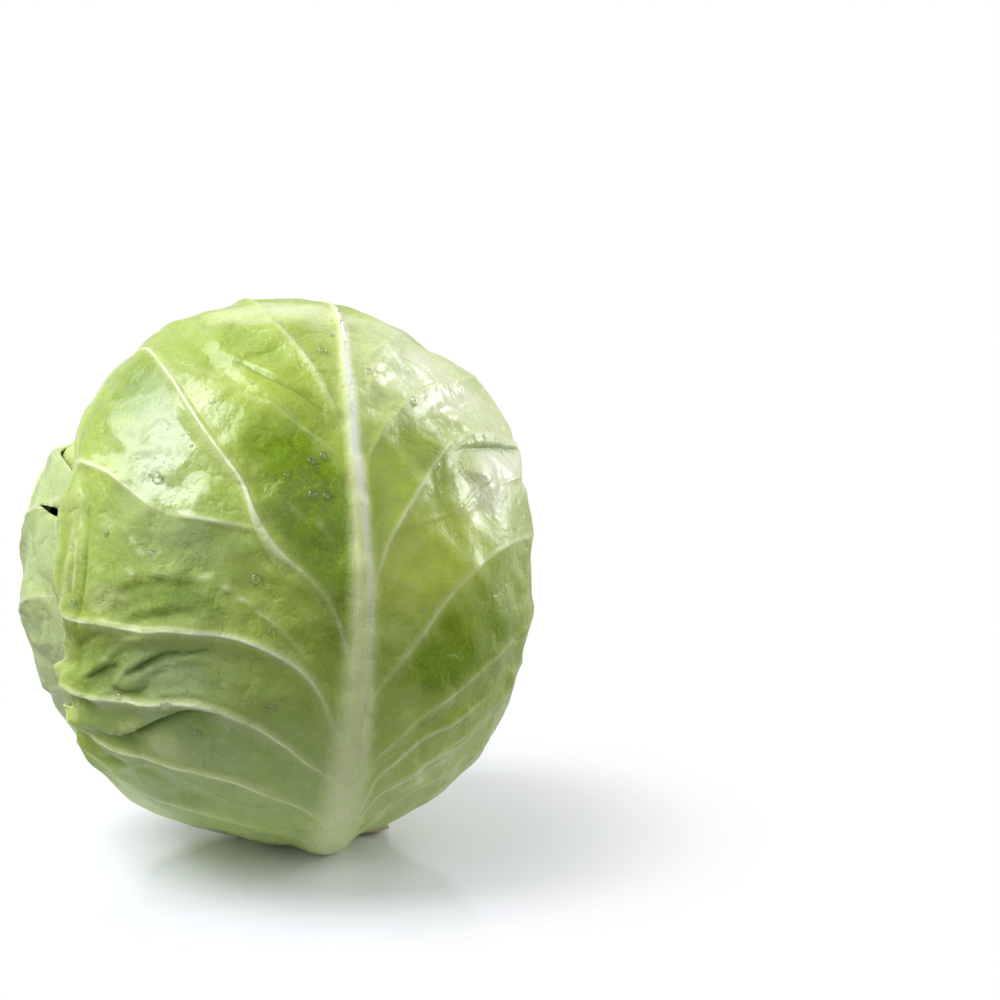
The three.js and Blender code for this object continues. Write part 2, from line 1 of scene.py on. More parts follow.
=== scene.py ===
import math
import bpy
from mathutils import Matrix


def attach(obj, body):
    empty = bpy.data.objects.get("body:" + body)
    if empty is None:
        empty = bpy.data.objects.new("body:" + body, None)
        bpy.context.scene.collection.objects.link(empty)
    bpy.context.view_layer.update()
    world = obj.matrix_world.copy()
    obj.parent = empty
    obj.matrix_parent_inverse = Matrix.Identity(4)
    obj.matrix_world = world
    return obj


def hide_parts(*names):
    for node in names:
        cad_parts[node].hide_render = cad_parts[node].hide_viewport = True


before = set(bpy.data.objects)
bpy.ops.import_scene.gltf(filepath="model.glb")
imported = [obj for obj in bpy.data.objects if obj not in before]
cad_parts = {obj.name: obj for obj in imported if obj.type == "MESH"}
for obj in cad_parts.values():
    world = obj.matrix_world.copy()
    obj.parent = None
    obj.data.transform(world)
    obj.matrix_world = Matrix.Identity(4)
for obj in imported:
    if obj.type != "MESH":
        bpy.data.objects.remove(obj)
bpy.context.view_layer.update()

from types import SimpleNamespace

import bpy
import numpy as np
from mathutils import Vector
from mathutils.bvhtree import BVHTree

bpy.ops.object.select_all(action="DESELECT")


# ---- Stem -----------------------------------------------------------------------------------
# The short thick stalk that every leaf grows from, pale solid flesh sliced flat with a knife. Its
# core runs up into the heart. Three cut-off stubs of older leaves are still joined to it.

MM = 0.001
DEGREE = math.pi / 180
STEM_RADIUS = 14.0

# Rings of the stalk from the middle of its cut face up to the tip of the core: (radius, height).
STALK_RINGS = [
    (1.5, 0), (4, 0), (6.5, 0), (9, 0), (11, 0), (13, 0), (13.7, 0.3), (14, 1), (14.1, 4), (13.9, 8),
    (14, 13), (14, 20), (12, 36), (9, 58), (6, 74), (2.5, 80),
]
STALK_SIDES = 96

# The cut face inside its rim: how far out it reaches, how far up it lies, how deep the knife's marks
# are, and the radius and the rise of the pith in its middle. Above the rim the stalk is uneven.
FACE_RADIUS, FACE_HEIGHT, KNIFE_MARK = 12.5, 0.14, 0.12
PITH_RADIUS, PITH_RISE = 6, 0.5
RIM_HEIGHT = 0.9

# Cut-off leaf bases: azimuth in degrees, then reach, width, thickness and rise in millimetres.
STUBS = [(92, 23, 12, 2.2, 1.6), (-112, 20, 12, 2.0, 1.0), (205, 21, 13, 2.0, 1.2)]
STUB_CELLS = (24, 18)
# How deep a stub's root is in the stalk, how high it starts, how far its sides curl up towards its
# end, and how far it stays clear of what the head stands on.
STUB_ROOT_DEPTH, STUB_FOOT, STUB_CUP, STUB_CLEARANCE = 3, 0.7, 0.9, 0.3

# Flesh from grain to grain, where it greens towards the leaves, and where the cut has dried.
FLESH_COLOURS = (0.60, 0.58, 0.36, 1), (0.72, 0.71, 0.50, 1)
GREEN_FLESH = (0.52, 0.60, 0.27, 1)
DRY_FLESH = (0.36, 0.30, 0.11, 1)


def smooth(value, start, end):
    t = np.clip((value - start) / (end - start), 0, 1)
    return t * t * (3 - 2 * t)


def mix(start, end, t):
    return start + (end - start) * t


def places(thing):
    """The places of a mesh's vertices, one row each."""
    spots = np.empty(3 * len(thing.data.vertices))
    thing.data.vertices.foreach_get("co", spots)
    return spots.reshape(-1, 3)


def put(thing, spots):
    """Moves a mesh's vertices to new places, one row each."""
    thing.data.vertices.foreach_set("co", np.ascontiguousarray(spots, dtype=np.float32).ravel())
    thing.data.update()


def note(thing, **values):
    """Keeps a number or a vector for each vertex, for the finish to read by name."""
    for name, numbers in values.items():
        kind, field = ("FLOAT", "value") if np.ndim(numbers) == 1 else ("FLOAT_VECTOR", "vector")
        kept = thing.data.attributes.new(name, kind, "POINT")
        kept.data.foreach_set(field, np.ascontiguousarray(numbers, dtype=np.float32).ravel())


def choose(thing):
    """Makes one thing the only one that operators act on."""
    bpy.ops.object.select_all(action="DESELECT")
    thing.select_set(True)
    bpy.context.view_layer.objects.active = thing


def finish_with(thing, kind, **settings):
    """Adds a modifier and applies it."""
    choose(thing)
    modifier = thing.modifiers.new(kind.title(), kind)
    for name, value in settings.items():
        setattr(modifier, name, value)
    bpy.ops.object.modifier_apply(modifier=modifier.name)


class Wire:
    """A shader socket that Python's own operators work on. Each expression adds its nodes."""

    def __init__(self, tree, socket=None):
        self.tree = tree
        self.socket = socket

    def node(self, kind, settings=None, values=None, output=0):
        """Adds a node: its settings are set first, then the numbers or links of its sockets."""
        made = self.tree.nodes.new("ShaderNode" + kind)
        for name, value in (settings or {}).items():
            setattr(made, name, value)
        for name, value in (values or {}).items():
            if isinstance(value, Wire):
                self.tree.links.new(value.socket, made.inputs[name])
            else:
                made.inputs[name].default_value = value
        return Wire(self.tree, made.outputs[output])

    def math(self, operation, first, second):
        return self.node("Math", {"operation": operation}, {0: first, 1: second})

    def vector(self, operation, first, second=(0, 0, 0), output="Vector"):
        return self.node("VectorMath", {"operation": operation}, {0: first, 1: second}, output)

    def __add__(self, other):
        return self.math("ADD", self, other)

    def __radd__(self, other):
        return self.math("ADD", other, self)

    def __sub__(self, other):
        return self.math("SUBTRACT", self, other)

    def __rsub__(self, other):
        return self.math("SUBTRACT", other, self)

    def __mul__(self, other):
        return self.math("MULTIPLY", self, other)

    def __rmul__(self, other):
        return self.math("MULTIPLY", other, self)

    def __truediv__(self, other):
        return self.math("DIVIDE", self, other)

    def smooth(self, start, end, low=0.0, high=1.0):
        """Runs smoothly from low at start to high at end."""
        return self.node("MapRange", {"interpolation_type": "SMOOTHSTEP"}, {
            "Value": self, "From Min": start, "From Max": end, "To Min": low, "To Max": high,
        })

    def between(self, first, second):
        """The colour this share of the way from the first to the second."""
        return self.node("Mix", {"data_type": "RGBA"}, {0: self, 6: first, 7: second}, output=2)

    def kept(self, name, output="Fac"):
        """What note() kept for each vertex under a name."""
        return self.node("Attribute", {"attribute_name": name}, output=output)

    def noise(self, place, scale, detail=2.0, roughness=0.5, output=0):
        """Smooth random patches, so many to a unit of place: 0 to 1, or a colour of three such."""
        return self.node("TexNoise", None, {
            "Vector": place, "Scale": scale, "Detail": detail, "Roughness": roughness,
        }, output)

    def cells(self, place, scale):
        """How far each place is from the nearest edge of a net of uneven cells."""
        return self.node("TexVoronoi", {"feature": "DISTANCE_TO_EDGE"},
                         {"Vector": place, "Scale": scale}, "Distance")

    def shifted(self, place, by, amount):
        """A place moved by a share of a colour, which is a vector here."""
        centred = self.vector("SUBTRACT", by, (0.5, 0.5, 0.5))
        return self.vector("ADD", place, self.vector("MULTIPLY", centred, (amount, amount, amount)))

    def bumped(self, height):
        """The normal of a surface whose height is given in millimetres."""
        return self.node("Bump", None, {"Strength": 1.0, "Distance": MM, "Height": height})


def finish_of(name, **constants):
    """A new finish: its material, its start wire and its Principled shader with fixed values set."""
    material = bpy.data.materials.new(name)
    material.use_nodes = True
    tree = material.node_tree
    shader = tree.nodes["Principled BSDF"]
    for socket, value in constants.items():
        shader.inputs[socket.replace("_", " ")].default_value = value
    return material, Wire(tree), shader


def feed(shader, **wires):
    """Links what varies over a surface to a shader's sockets."""
    for socket, wire in wires.items():
        wire.tree.links.new(wire.socket, shader.inputs[socket.replace("_", " ")])


def turn_stalk():
    """Extrudes the stalk ring by ring from a small disc in the middle of its cut face."""
    first, level = STALK_RINGS[0]
    bpy.ops.mesh.primitive_circle_add(vertices=STALK_SIDES, radius=first * MM, fill_type="TRIFAN")
    stalk = bpy.context.active_object
    bpy.ops.object.mode_set(mode="EDIT")
    for radius, height in STALK_RINGS[1:]:
        rise = (0, 0, (height - level) * MM)
        bpy.ops.mesh.extrude_region_move(TRANSFORM_OT_translate={"value": rise})
        grow = radius / first
        bpy.ops.transform.resize(value=(grow, grow, 1), center_override=(0, 0, height * MM))
        first, level = radius, height
    bpy.ops.mesh.select_all(action="SELECT")
    bpy.ops.mesh.normals_make_consistent(inside=False)
    bpy.ops.object.mode_set(mode="OBJECT")
    x, y, z = (places(stalk) / MM).T
    turn, radius = np.arctan2(y, x), np.hypot(x, y)
    knife = KNIFE_MARK * np.sin(x * 1.9 + 0.6 * np.sin(y * 0.7))
    pith = PITH_RISE * np.clip(1 - radius / PITH_RADIUS, 0, 1)
    z = z + np.where(z < 0.1, (FACE_HEIGHT + knife + pith) * (radius < FACE_RADIUS), 0)
    uneven = 1 + 0.02 * np.sin(3 * turn + 1) + 0.012 * np.sin(7 * turn + z * 0.1)
    uneven = np.where(z > RIM_HEIGHT, uneven, 1)
    put(stalk, np.stack([x * uneven, y * uneven, z], 1) * MM)
    return stalk


def cut_stub(azimuth, reach, width, thick, rise):
    """Bends a thick sheet out from the stalk and up to a ragged cut end."""
    long_cells, wide_cells = STUB_CELLS
    bpy.ops.mesh.primitive_grid_add(x_subdivisions=long_cells, y_subdivisions=wide_cells, size=2)
    stub = bpy.context.active_object
    spots = places(stub)
    out, across = (spots[:, 0] + 1) / 2, spots[:, 1]
    ragged = 1 + 0.03 * np.sin(9 * across + azimuth) + 0.02 * np.sin(23 * across)
    radius = mix(STEM_RADIUS - STUB_ROOT_DEPTH, reach * ragged, out)
    height = STUB_FOOT + (rise - 0.5) * out ** 2.4 + STUB_CUP * across ** 2 * out
    side = across * width / 2 * mix(1, 0.86, out ** 3)
    put(stub, np.stack([radius, side, height + thick * mix(1, 0.6, out)], 1) * MM)
    finish_with(stub, "SOLIDIFY", thickness=thick * MM, offset=-1)
    spots = places(stub)
    spots[:, 2] = np.maximum(spots[:, 2], STUB_CLEARANCE * MM)
    turn = (azimuth - 90) * DEGREE
    c, s = math.cos(turn), math.sin(turn)
    put(stub, spots @ np.array([[c, s, 0], [-s, c, 0], [0, 0, 1]]))
    return stub


stem = turn_stalk()
stubs = [cut_stub(*stub) for stub in STUBS]
choose(stem)
for stub in stubs:
    stub.select_set(True)
bpy.ops.object.join()
bpy.ops.object.shade_smooth_by_angle(angle=40 * DEGREE)
stem.name = stem.data.name = "cut_stem"

flesh, start, shader = finish_of("stem_flesh", Roughness=0.5, Subsurface_Weight=0.15,
                                 Subsurface_Scale=0.003, Subsurface_Radius=(1.0, 0.9, 0.4))
place = start.node("TexCoord", output="Object")
up = start.node("SeparateXYZ", None, {0: place}, "Z") / MM
across = start.vector("LENGTH", start.vector("MULTIPLY", place, (1, 1, 0)), output="Value") / MM
fibres = start.noise(place, 900, 3)
dry = (across + 3 * start.noise(place, 260, 3)).smooth(12.5, 16) * (1 - up.smooth(1, 6))
colour = fibres.smooth(0.3, 0.7).between(*FLESH_COLOURS)
colour = (up.smooth(1.5, 9) * 0.7).between(colour, GREEN_FLESH)
colour = (dry * 0.5).between(colour, DRY_FLESH)
feed(shader, Base_Color=colour, Normal=start.bumped(0.15 * fibres + 0.2 * start.noise(place, 220, 2)))
stem.data.materials.append(flesh)
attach(stem, "root")
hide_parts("stem")


# ---- Wrapper leaves -------------------------------------------------------------------------
# Five outer leaves, each one thin waxy blade on a thick pale midrib with side veins that run out to
# its edge. They grow from the stem and fold one under the next, with the front leaf outside.

HEAD_RADIUS = 80.0
HEAD_HALF_HEIGHT = 85.5
HEAD_CENTRE = np.array([-9.0, -4.0, 84.5])
FOOT_CLEARANCE = 0.05
LAYER_PITCH = 3.6
LEAF_THICKNESS = 0.9
MERGE_WITHIN = 0.02
MM_PER_DEGREE = HEAD_RADIUS * DEGREE

# A leaf presses what is under it down by one layer, in full out to the first of these shares of its
# outline and not at all past the second. How lobed that outline is, and in how many steps its foot,
# each of its rows and the whole of it are traced.
MASK_INNER, MASK_OUTER = 1.09, 1.32
EDGE_LOBE = 0.022
FOOT_STEPS, ROW_STEPS, OUTLINE_STEPS = 40, 12, 120

# Where the whole head swells or sinks: azimuth, elevation, how far out in millimetres, how wide in
# degrees.
SWELLS = [
    (97, 28, 3.4, 14), (98, 44, 2.0, 8), (-97, 31, -3.4, 9), (-116, 67, 2.8, 11),
    (-92, 5, -1.3, 22), (-86, -50, 2.0, 12), (85, -48, 2.4, 12), (20, 10, 0.8, 30),
    (165, -20, 2.0, 26), (-150, 25, -1.4, 20), (140, 45, -1.2, 18), (-112, -76, 2.2, 11),
    (-38, -68, -3.0, 15),
]

# A midrib in millimetres, at a leaf's tip and at its base: its height, and the half widths of its
# foot and of its crest. How fast it tapers, and the share of the leaf's width where it ends.
MIDRIB_HEIGHT = (0.7, 4.8)
MIDRIB_FOOT = (6.0, 13.0)
MIDRIB_CREST = (1.5, 8.4)
MIDRIB_TAPER = 1.6
MIDRIB_REACH = 0.4
# The shares of its height that its foot, its crest and the core on its crest make up.
FOOT_SHARE, CREST_SHARE, CORE_SHARE = 0.6, 0.33, 0.07

# The half widths of a side vein's foot and crest in millimetres, at its root and at its end, and the
# height from which it is drawn at its boldest.
VEIN_FOOT = (6.0, 4.6)
VEIN_CREST = (1.4, 1.0)
BOLD_VEIN_HEIGHT = 1.3

# A leaf's margin in millimetres: its waves, the lip just inside it and how far it is tucked down.
MARGIN_WAVE, MARGIN_LIP, MARGIN_TUCK = 0.9, 0.7, 2.4
LOWEST_RELIEF = -2.2

# The scale of the pattern that follows the veins, in millimetres: from midrib to edge, and from one
# side vein to the next.
LEAF_REACH = 100.0
ROW_PITCH = 12.0

# Unevenness all over a leaf: the length and the height of its waves in millimetres.
CRINKLES = [(20, 0.32), (8, 0.14)]


def ridge(q):
    """A ridge seen end on: 1 on its line, falling to 0 at q = 1."""
    return np.where(np.abs(q) < 1, (1 - q * q) ** 2, 0.0)


def towards(azimuth, elevation):
    flat = math.cos(elevation * DEGREE)
    return np.array([math.sin(azimuth * DEGREE) * flat, -math.cos(azimuth * DEGREE) * flat,
                     math.sin(elevation * DEGREE)])


def degrees_from(ways, way):
    """The angle of each of many ways from one."""
    return np.arccos(np.clip(ways @ way, -1, 1)) / DEGREE


def turned(x, y, degrees):
    """Places seen from axes that are turned by some degrees."""
    c, s = math.cos(degrees * DEGREE), math.sin(degrees * DEGREE)
    return x * c + y * s, y * c - x * s


def head_radius(ways):
    """How far the outside of the head is from its middle, the way that each unit vector points."""
    flat = (ways[:, 0] ** 2 + ways[:, 1] ** 2) / HEAD_RADIUS ** 2
    radius = 1 / np.sqrt(flat + ways[:, 2] ** 2 / HEAD_HALF_HEIGHT ** 2)
    for azimuth, elevation, out, wide in SWELLS:
        angle = degrees_from(ways, towards(azimuth, elevation))
        radius = radius + out * np.exp(-((angle / wide) ** 2))
    return radius


def lowest(ways, radius):
    """A radius kept short enough to stay clear of the surface that the head stands on."""
    down = np.maximum(-ways[:, 2], 0.01)
    return np.minimum(radius, (HEAD_CENTRE[2] - FOOT_CLEARANCE) / down)


def leaf_way(leaf, x, y):
    """The way out from the head's middle to a place x and y degrees from the middle of a leaf."""
    reach = np.maximum(np.hypot(x, y), 1e-9)
    turn = np.sin(reach * DEGREE) / reach
    out, side, up = leaf["axes"]
    return np.outer(np.cos(reach * DEGREE), out) + np.outer(turn * x, side) + np.outer(turn * y, up)


def carry_on(values):
    """A list with one more value at each end, carried on straight."""
    values = np.asarray(values, float)
    return np.concatenate([[2 * values[0] - values[1]], values, [2 * values[-1] - values[-2]]])


def catmull(p0, p1, p2, p3, t):
    return 0.5 * (2 * p1 + (p2 - p0) * t + (2 * p0 - 5 * p1 + 4 * p2 - p3) * t * t
                  + (3 * p1 - p0 - 3 * p2 + p3) * t * t * t)


def four_round(values, index, t):
    """The smooth curve through a list of values, a share t past the value at an index."""
    p = carry_on(values)
    return catmull(p[index], p[index + 1], p[index + 2], p[index + 3], t)


def along(points, fraction):
    """Places a fraction of the way along a smooth line through points."""
    points = np.asarray(points, float)
    lengths = np.concatenate([[0], np.cumsum(np.hypot(*np.diff(points, axis=0).T))])
    wanted = np.asarray(fraction, float) * lengths[-1]
    index = np.clip(np.searchsorted(lengths, wanted) - 1, 0, len(points) - 2)
    t = (wanted - lengths[index]) / np.diff(lengths)[index]
    return four_round(points, index, t[:, None])


def midrib_x(midrib, y):
    midrib, y = np.asarray(midrib, float), np.asarray(y, float)
    index = np.clip(np.searchsorted(midrib[:, 1], y) - 1, 0, len(midrib) - 2)
    t = (y - midrib[index, 1]) / (midrib[index + 1, 1] - midrib[index, 1])
    return four_round(midrib[:, 0], index, np.clip(t, -0.5, 1.5))


def vein_below(leaf, v):
    """The side vein that each place is above or on, counted from the leaf's base."""
    return np.clip(np.floor(v).astype(int), 0, leaf["last"] - 1)


def net_point(leaf, side, share, v):
    """The place in a leaf's frame a share of the way from midrib to edge, at side vein v."""
    lobe = np.sin(v * 5.1 + leaf["seed"]) + 0.6 * np.sin(v * 11.7 + 2 * leaf["seed"])
    a = share * (1 + EDGE_LOBE * lobe * smooth(share, 0.6, 1) * smooth(v, 0.5, 1.5))
    index = vein_below(leaf, v)
    offsets = carry_on([along(line, a) - np.asarray(line[0]) for line in leaf["full"][side]])
    rows = np.arange(len(v))
    around = [offsets[index + k, rows] for k in range(4)]
    dx, dy = catmull(*around, (v - index)[:, None]).T
    y = four_round(leaf["roots"], index, v - index)
    return midrib_x(leaf["midrib"], y) + dx, y + dy


def prepare_leaf(leaf):
    """Adds a leaf's axes, its side veins with their roots, and the outline that its edge makes."""
    leaf["last"] = len(leaf["roots"]) - 1
    out = towards(leaf["azimuth"], 0)
    leaf["axes"] = out, np.array([-out[1], out[0], 0.0]), np.array([0.0, 0.0, 1.0])
    leaf["full"] = {
        side: [[(float(midrib_x(leaf["midrib"], root)), root), *line]
               for root, line in zip(leaf["roots"], leaf["lines"][side])]
        for side in ("left", "right")
    }
    edge = []
    for side in ("left", "right"):
        foot = np.linspace(0, 1, FOOT_STEPS + 1)
        edge.append(net_point(leaf, side, foot, np.zeros(len(foot))))
        v = np.arange(1, ROW_STEPS * leaf["last"] + 1) / ROW_STEPS
        edge.append(net_point(leaf, side, np.ones(len(v)), v))
    x, y = np.concatenate(edge, axis=1)
    turn, reach = np.arctan2(y, x), np.hypot(x, y)
    order = np.argsort(turn)
    leaf["turns"] = np.linspace(-math.pi, math.pi, OUTLINE_STEPS + 1)
    leaf["outline"] = np.interp(leaf["turns"], turn[order], reach[order], period=2 * math.pi)
    return leaf


def cover(leaf, ways):
    """1 under a leaf, falling to 0 a little way outside its edge."""
    out, side, up = leaf["axes"]
    edge = np.interp(np.arctan2(ways @ up, ways @ side), leaf["turns"], leaf["outline"])
    return 1 - smooth(degrees_from(ways, out) / edge, MASK_INNER, MASK_OUTER)


def layering(outer, ways):
    """How deep a surface lies under the leaves outside it, and how much of it is open to view."""
    depth, shown = np.zeros(len(ways)), np.ones(len(ways))
    for leaf in outer:
        covered = cover(leaf, ways)
        depth += LAYER_PITCH * covered
        shown *= 1 - covered
    return depth, shown


# The front leaf's side veins from root to edge, each given by points of its own: (x, y) in degrees in
# the leaf's frame.
FRONT_TIP = [(17, 83), (18.5, 92), (20, 101)]
FRONT_LINES = {
    "left": [
        [(0, -92), (-18, -89), (-38, -79), (-54, -63), (-65, -49)],
        [(-8, -58), (-25, -53), (-42, -51), (-58, -48), (-69, -43)],
        [(-12, -40), (-26, -35.5), (-40, -34.5), (-55, -36), (-70, -34.5)],
        [(1, -36), (-6, -29.5), (-18, -20), (-30, -15.5), (-44, -18), (-60, -21), (-69, -20.5)],
        [(-1, -19.5), (-7.5, -8), (-19, -1), (-33.5, 0.7), (-43, -0.3), (-53, 0), (-62, -0.8),
         (-69.5, 0.5)],
        [(1, -9), (-5, 1), (-11, 10), (-17, 19), (-24.5, 24.2), (-32.5, 25.7), (-39.5, 28.3),
         (-50.5, 36.5), (-60, 40.5), (-69.5, 43.5)],
        [(1.5, -3), (-1, 5), (-5.5, 11.5), (-12, 18), (-16, 25), (-18.5, 32.5), (-24, 41.5),
         (-27.5, 47.5), (-35, 62.5), (-42.5, 75), (-53, 83)],
        [(3, 33), (-3, 43), (-10, 52), (-17, 63), (-24, 75), (-32, 92)],
        [(5.8, 41), (3.4, 50.5), (1.2, 58), (-1.3, 66), (-5, 76), (-9, 98)],
        FRONT_TIP,
    ],
    "right": [
        [(21, -92), (38, -84), (54, -68), (64, -52)],
        [(20, -60), (34, -54), (48, -48), (60, -42), (68, -37)],
        [(9, -45), (21.5, -37.5), (34, -33), (50, -28), (69, -23)],
        [(7.5, -34), (14.5, -26), (27, -18.5), (45, -12), (70, -8)],
        [(5.6, -19), (9.5, -11.5), (17.8, -3), (29, 7), (46, 13), (72, 13)],
        [(6.2, -8), (8.5, 2), (13, 11), (20, 18), (29, 22), (46, 28), (73, 29)],
        [(5.9, 1), (7.7, 9.5), (10.3, 15.6), (13.6, 21), (18, 26), (24, 32), (34, 39.5), (46, 40.8),
         (59, 39.5), (75, 36)],
        [(8.6, 34), (15, 42.5), (24.5, 49.5), (35.5, 54.5), (47, 57), (62, 60), (72, 62)],
        [(10.6, 46), (17, 58), (28, 69), (42, 78), (56, 90)],
        FRONT_TIP,
    ],
}

# Its low ridges and grooves, which are finer veins or wrinkles: points, height, half width, how pale
# they are, or how dark if negative. The pale is the veins' own colour, and on the lip at the left
# edge and on the hem's roll partly a painted highlight. The dark is painted shade in the groove.
FRONT_WRINKLES = [
    ([(-5.5, -7), (-10, -1), (-15, 4), (-20, 8), (-26, 12), (-33, 13.5), (-42, 13), (-51, 13.5),
      (-60, 13)], 0.55, 1.3, 0.8),
    ([(-54.5, 26), (-51.5, 24), (-46.5, 22.8), (-42.5, 17.5), (-40, 16.5), (-35, 20)], 0.7, 1.2, 1.0),
    ([(-52, 50), (-40, 44), (-35, 41.5), (-26, 40)], -0.7, 1.2, -0.4),
    ([(-37, 42), (-34, 36), (-31, 31), (-30, 27)], -0.6, 1.1, -0.3),
    ([(-45, 36), (-39, 34.5), (-31, 31)], -0.6, 1.1, -0.3),
    ([(-50, 58), (-44, 52), (-40, 44)], -0.5, 1.1, -0.3),
    ([(0, 19), (-2, 22), (-5, 24), (-8.5, 26.5), (-12, 27)], 0.4, 1.1, 0.5),
    ([(4, 35.5), (1, 39), (-2.5, 42.5), (-7, 46.5), (-11, 50.5), (-18, 54)], 0.5, 1.1, 0.5),
    ([(-11, 42.5), (-4.5, 38), (-1, 32), (0.5, 27)], -0.6, 1.2, -0.7),
    ([(-9, 36), (-5, 33.5), (-2, 28)], 0.4, 1.0, -0.4),
    ([(-16, 62), (-5, 53.5), (3.5, 46)], -0.3, 0.9, -0.7),
    ([(-12, 34), (-9, 28), (-3, 24)], -0.4, 1.1, -0.4),
    ([(12, 20), (18.5, 21.5), (25.5, 22.5), (32, 24), (38, 28)], 0.3, 1.0, 0.5),
    ([(8.5, 11.5), (13.5, 10), (19, 8)], 0.3, 1.0, 0.5),
    ([(11, -33), (15.5, -30.5), (24, -30.5), (31, -28)], 0.3, 0.9, 0.5),
    ([(-50, -16), (-44.5, -12.5), (-38, -8), (-32.5, -6), (-27.5, -6), (-23.5, -8.5), (-21, -12)],
     0.9, 2.2, 0.2),
    ([(-63, -9.5), (-57.5, -5), (-52.5, -2)], -0.7, 1.6, -0.5),
    ([(-61, -17), (-53.5, -10), (-47, -4), (-40, -1.5)], 0.5, 1.5, 0.3),
    ([(-62, -18), (-62, -13), (-62.5, -8)], -0.6, 1.2, -0.5),
    ([(-57, -21), (-52, -18), (-46, -9.5), (-38, -4)], 0.6, 1.6, 0.3),
    ([(-56, 1), (-50, 5), (-44, 6)], 0.4, 1.2, 0.3),
    ([(-55, -6), (-49, -3.5), (-42, -2.5)], 0.5, 1.0, 0.4),
    ([(-50, -13), (-45, -11.5), (-40, -9), (-34, -7.5)], 0.5, 1.0, 0.4),
    ([(-46, -20.5), (-40, -16), (-34, -13.5), (-27, -13)], 0.4, 1.2, 0.3),
    ([(12, 57.5), (15, 60.5), (25, 67), (32, 70.5)], 0.4, 1.2, 0.6),
    ([(27.5, 32.5), (36.5, 31.5), (44, 30), (39.5, 28), (34, 25)], 0.7, 1.2, 0.9),
    ([(35, 55), (40, 49), (47, 45)], 0.3, 0.9, 0.6),
    ([(62.5, 57), (57, 53.5), (52, 47)], 0.5, 0.9, 0.8),
    ([(39, 46.5), (50, 46.5)], 0.5, 1.0, 0.6),
    ([(34, 40), (42, 41), (52, 41), (62, 39.5)], 0.3, 3.2, 0.9),
    ([(36, 37.2), (42, 37.8), (49, 38), (58, 37.5), (66, 36)], -0.4, 0.9, -1.0),
    ([(-57, 58), (-50, 57), (-46.5, 59.5)], 0.5, 1.0, 0.7),
    ([(-46, 64), (-49, 56), (-53, 50)], 0.5, 1.0, 0.3),
    ([(-13.5, 21), (-17.5, 22.8), (-22, 23.8), (-28, 25), (-34, 26)], 0.8, 1.7, 0.8),
    ([(-53.5, -50.5), (-47.5, -42), (-41.5, -38.5), (-35, -40), (-28, -43), (-17, -47)],
     0.5, 1.1, 0.5),
    ([(-58, -41), (-52, -40.5), (-46, -39.5)], 0.5, 1.2, 0.4),
    ([(-62.5, 35), (-62.5, 24), (-64, 14), (-65.5, 4), (-66.5, -8), (-67, -24)], 1.1, 3.2, 0.6),
    ([(-60.5, 36), (-60.5, 22), (-62, 10), (-63, 2)], 0.4, 0.8, 1.0),
    ([(-58, 34), (-57.5, 20), (-59, 8), (-60.5, 0), (-61, -14)], -0.8, 1.4, -0.7),
    ([(7, -50), (11.5, -38), (20, -29.5), (31, -26.5), (45, -22)], 0.6, 1.8, 0.9),
    ([(8, -54), (13, -44.5), (24.5, -37), (34, -35.5), (45, -33)], 0.5, 1.8, 0.9),
    ([(10, -60), (20, -49), (34, -45), (46, -42)], 0.5, 1.6, 0.7),
]

# Its folds, high on the left of their direction and low on the right: points, how high and how far
# that reaches, how low and how far that reaches, and how far the lip hangs over, in millimetres.
# Under each lip the skin gets painted shade.
FRONT_FOLDS = [
    ([(-47.5, -12), (-44, -9), (-41, -6.8), (-37.5, -5), (-33, -3.5)], 1.5, 3.0, 1.7, 2.6, 1.1),
    ([(-36, -7), (-34, -5.2), (-31, -4), (-27, -3)], 0.8, 2.5, 1.0, 2.2, 0.6),
    ([(-58.5, -16), (-56, -13.5), (-53, -11.3), (-49, -9.5)], 1.2, 3.5, 1.6, 2.6, 0.8),
    ([(-51, -15.5), (-48, -16), (-44.5, -15.2), (-41, -13)], 0.8, 2.0, 1.3, 1.8, 0.5),
    ([(-57, -31), (-54, -31), (-49, -29), (-44, -25.5), (-39, -21), (-35, -18.5), (-31, -17),
      (-25, -17.5)], 2.8, 6.0, 1.8, 3.2, 1.8),
    ([(-51, 8), (-44, 11), (-37, 12), (-28, 11.5)], 0.7, 5.0, 1.3, 3.0, 0.4),
    ([(-50, 4.5), (-41, 8), (-32, 10)], 0.4, 3.0, 0.9, 1.6, 0.4),
    ([(-48, 1), (-38, 4.5), (-26, 6.5)], 0.5, 3.0, 0.7, 2.5, 0.2),
    ([(-20.5, 66), (-15, 62.5), (-9.5, 58), (-4.5, 54), (1, 51), (4, 48)], 0.3, 3.0, 0.6, 2.0, 0.4),
    ([(-37, 67), (-42, 65), (-46.5, 59.5), (-53, 58)], 1.0, 6.0, 1.1, 4.0, 0.3),
    ([(-56, 62), (-57.5, 56), (-61.5, 49.5), (-65, 41)], 0.6, 3.0, 1.2, 2.5, 0.6),
    ([(33.5, 37.6), (40, 38.2), (48, 38.4), (56, 38), (65, 36.5)], 1.0, 3.5, 1.0, 1.0, 0.7),
    ([(26, 55), (28, 63), (33.5, 70)], 0.2, 2.0, 0.5, 1.5, 0.2),
]

# Its hollows and flat places: x, y, half length and half width in millimetres, depth, and how dark
# the painted shade in it is.
FRONT_POCKETS = [
    (-44, -17, 3.5, 1.8, 0.8, 0.5), (-47.5, -31, 4.5, 2.4, 1.0, 0.8), (-6, 17, 9, 6, 0.8, 0.2),
    (-38, 45, 13, 17, 1.5, 0), (-2, 40, 6, 8, 0.7, 0), (38, 20, 13, 8, 0.5, 0),
    (-61, -25, 3, 2.2, 1.2, 0.7), (-61, -36, 3, 2.2, 1.2, 0.7), (-52.5, -43, 2.4, 1.4, 1.0, 0.8),
    (-33, -48, 9, 3, 0.8, 0.5),
]

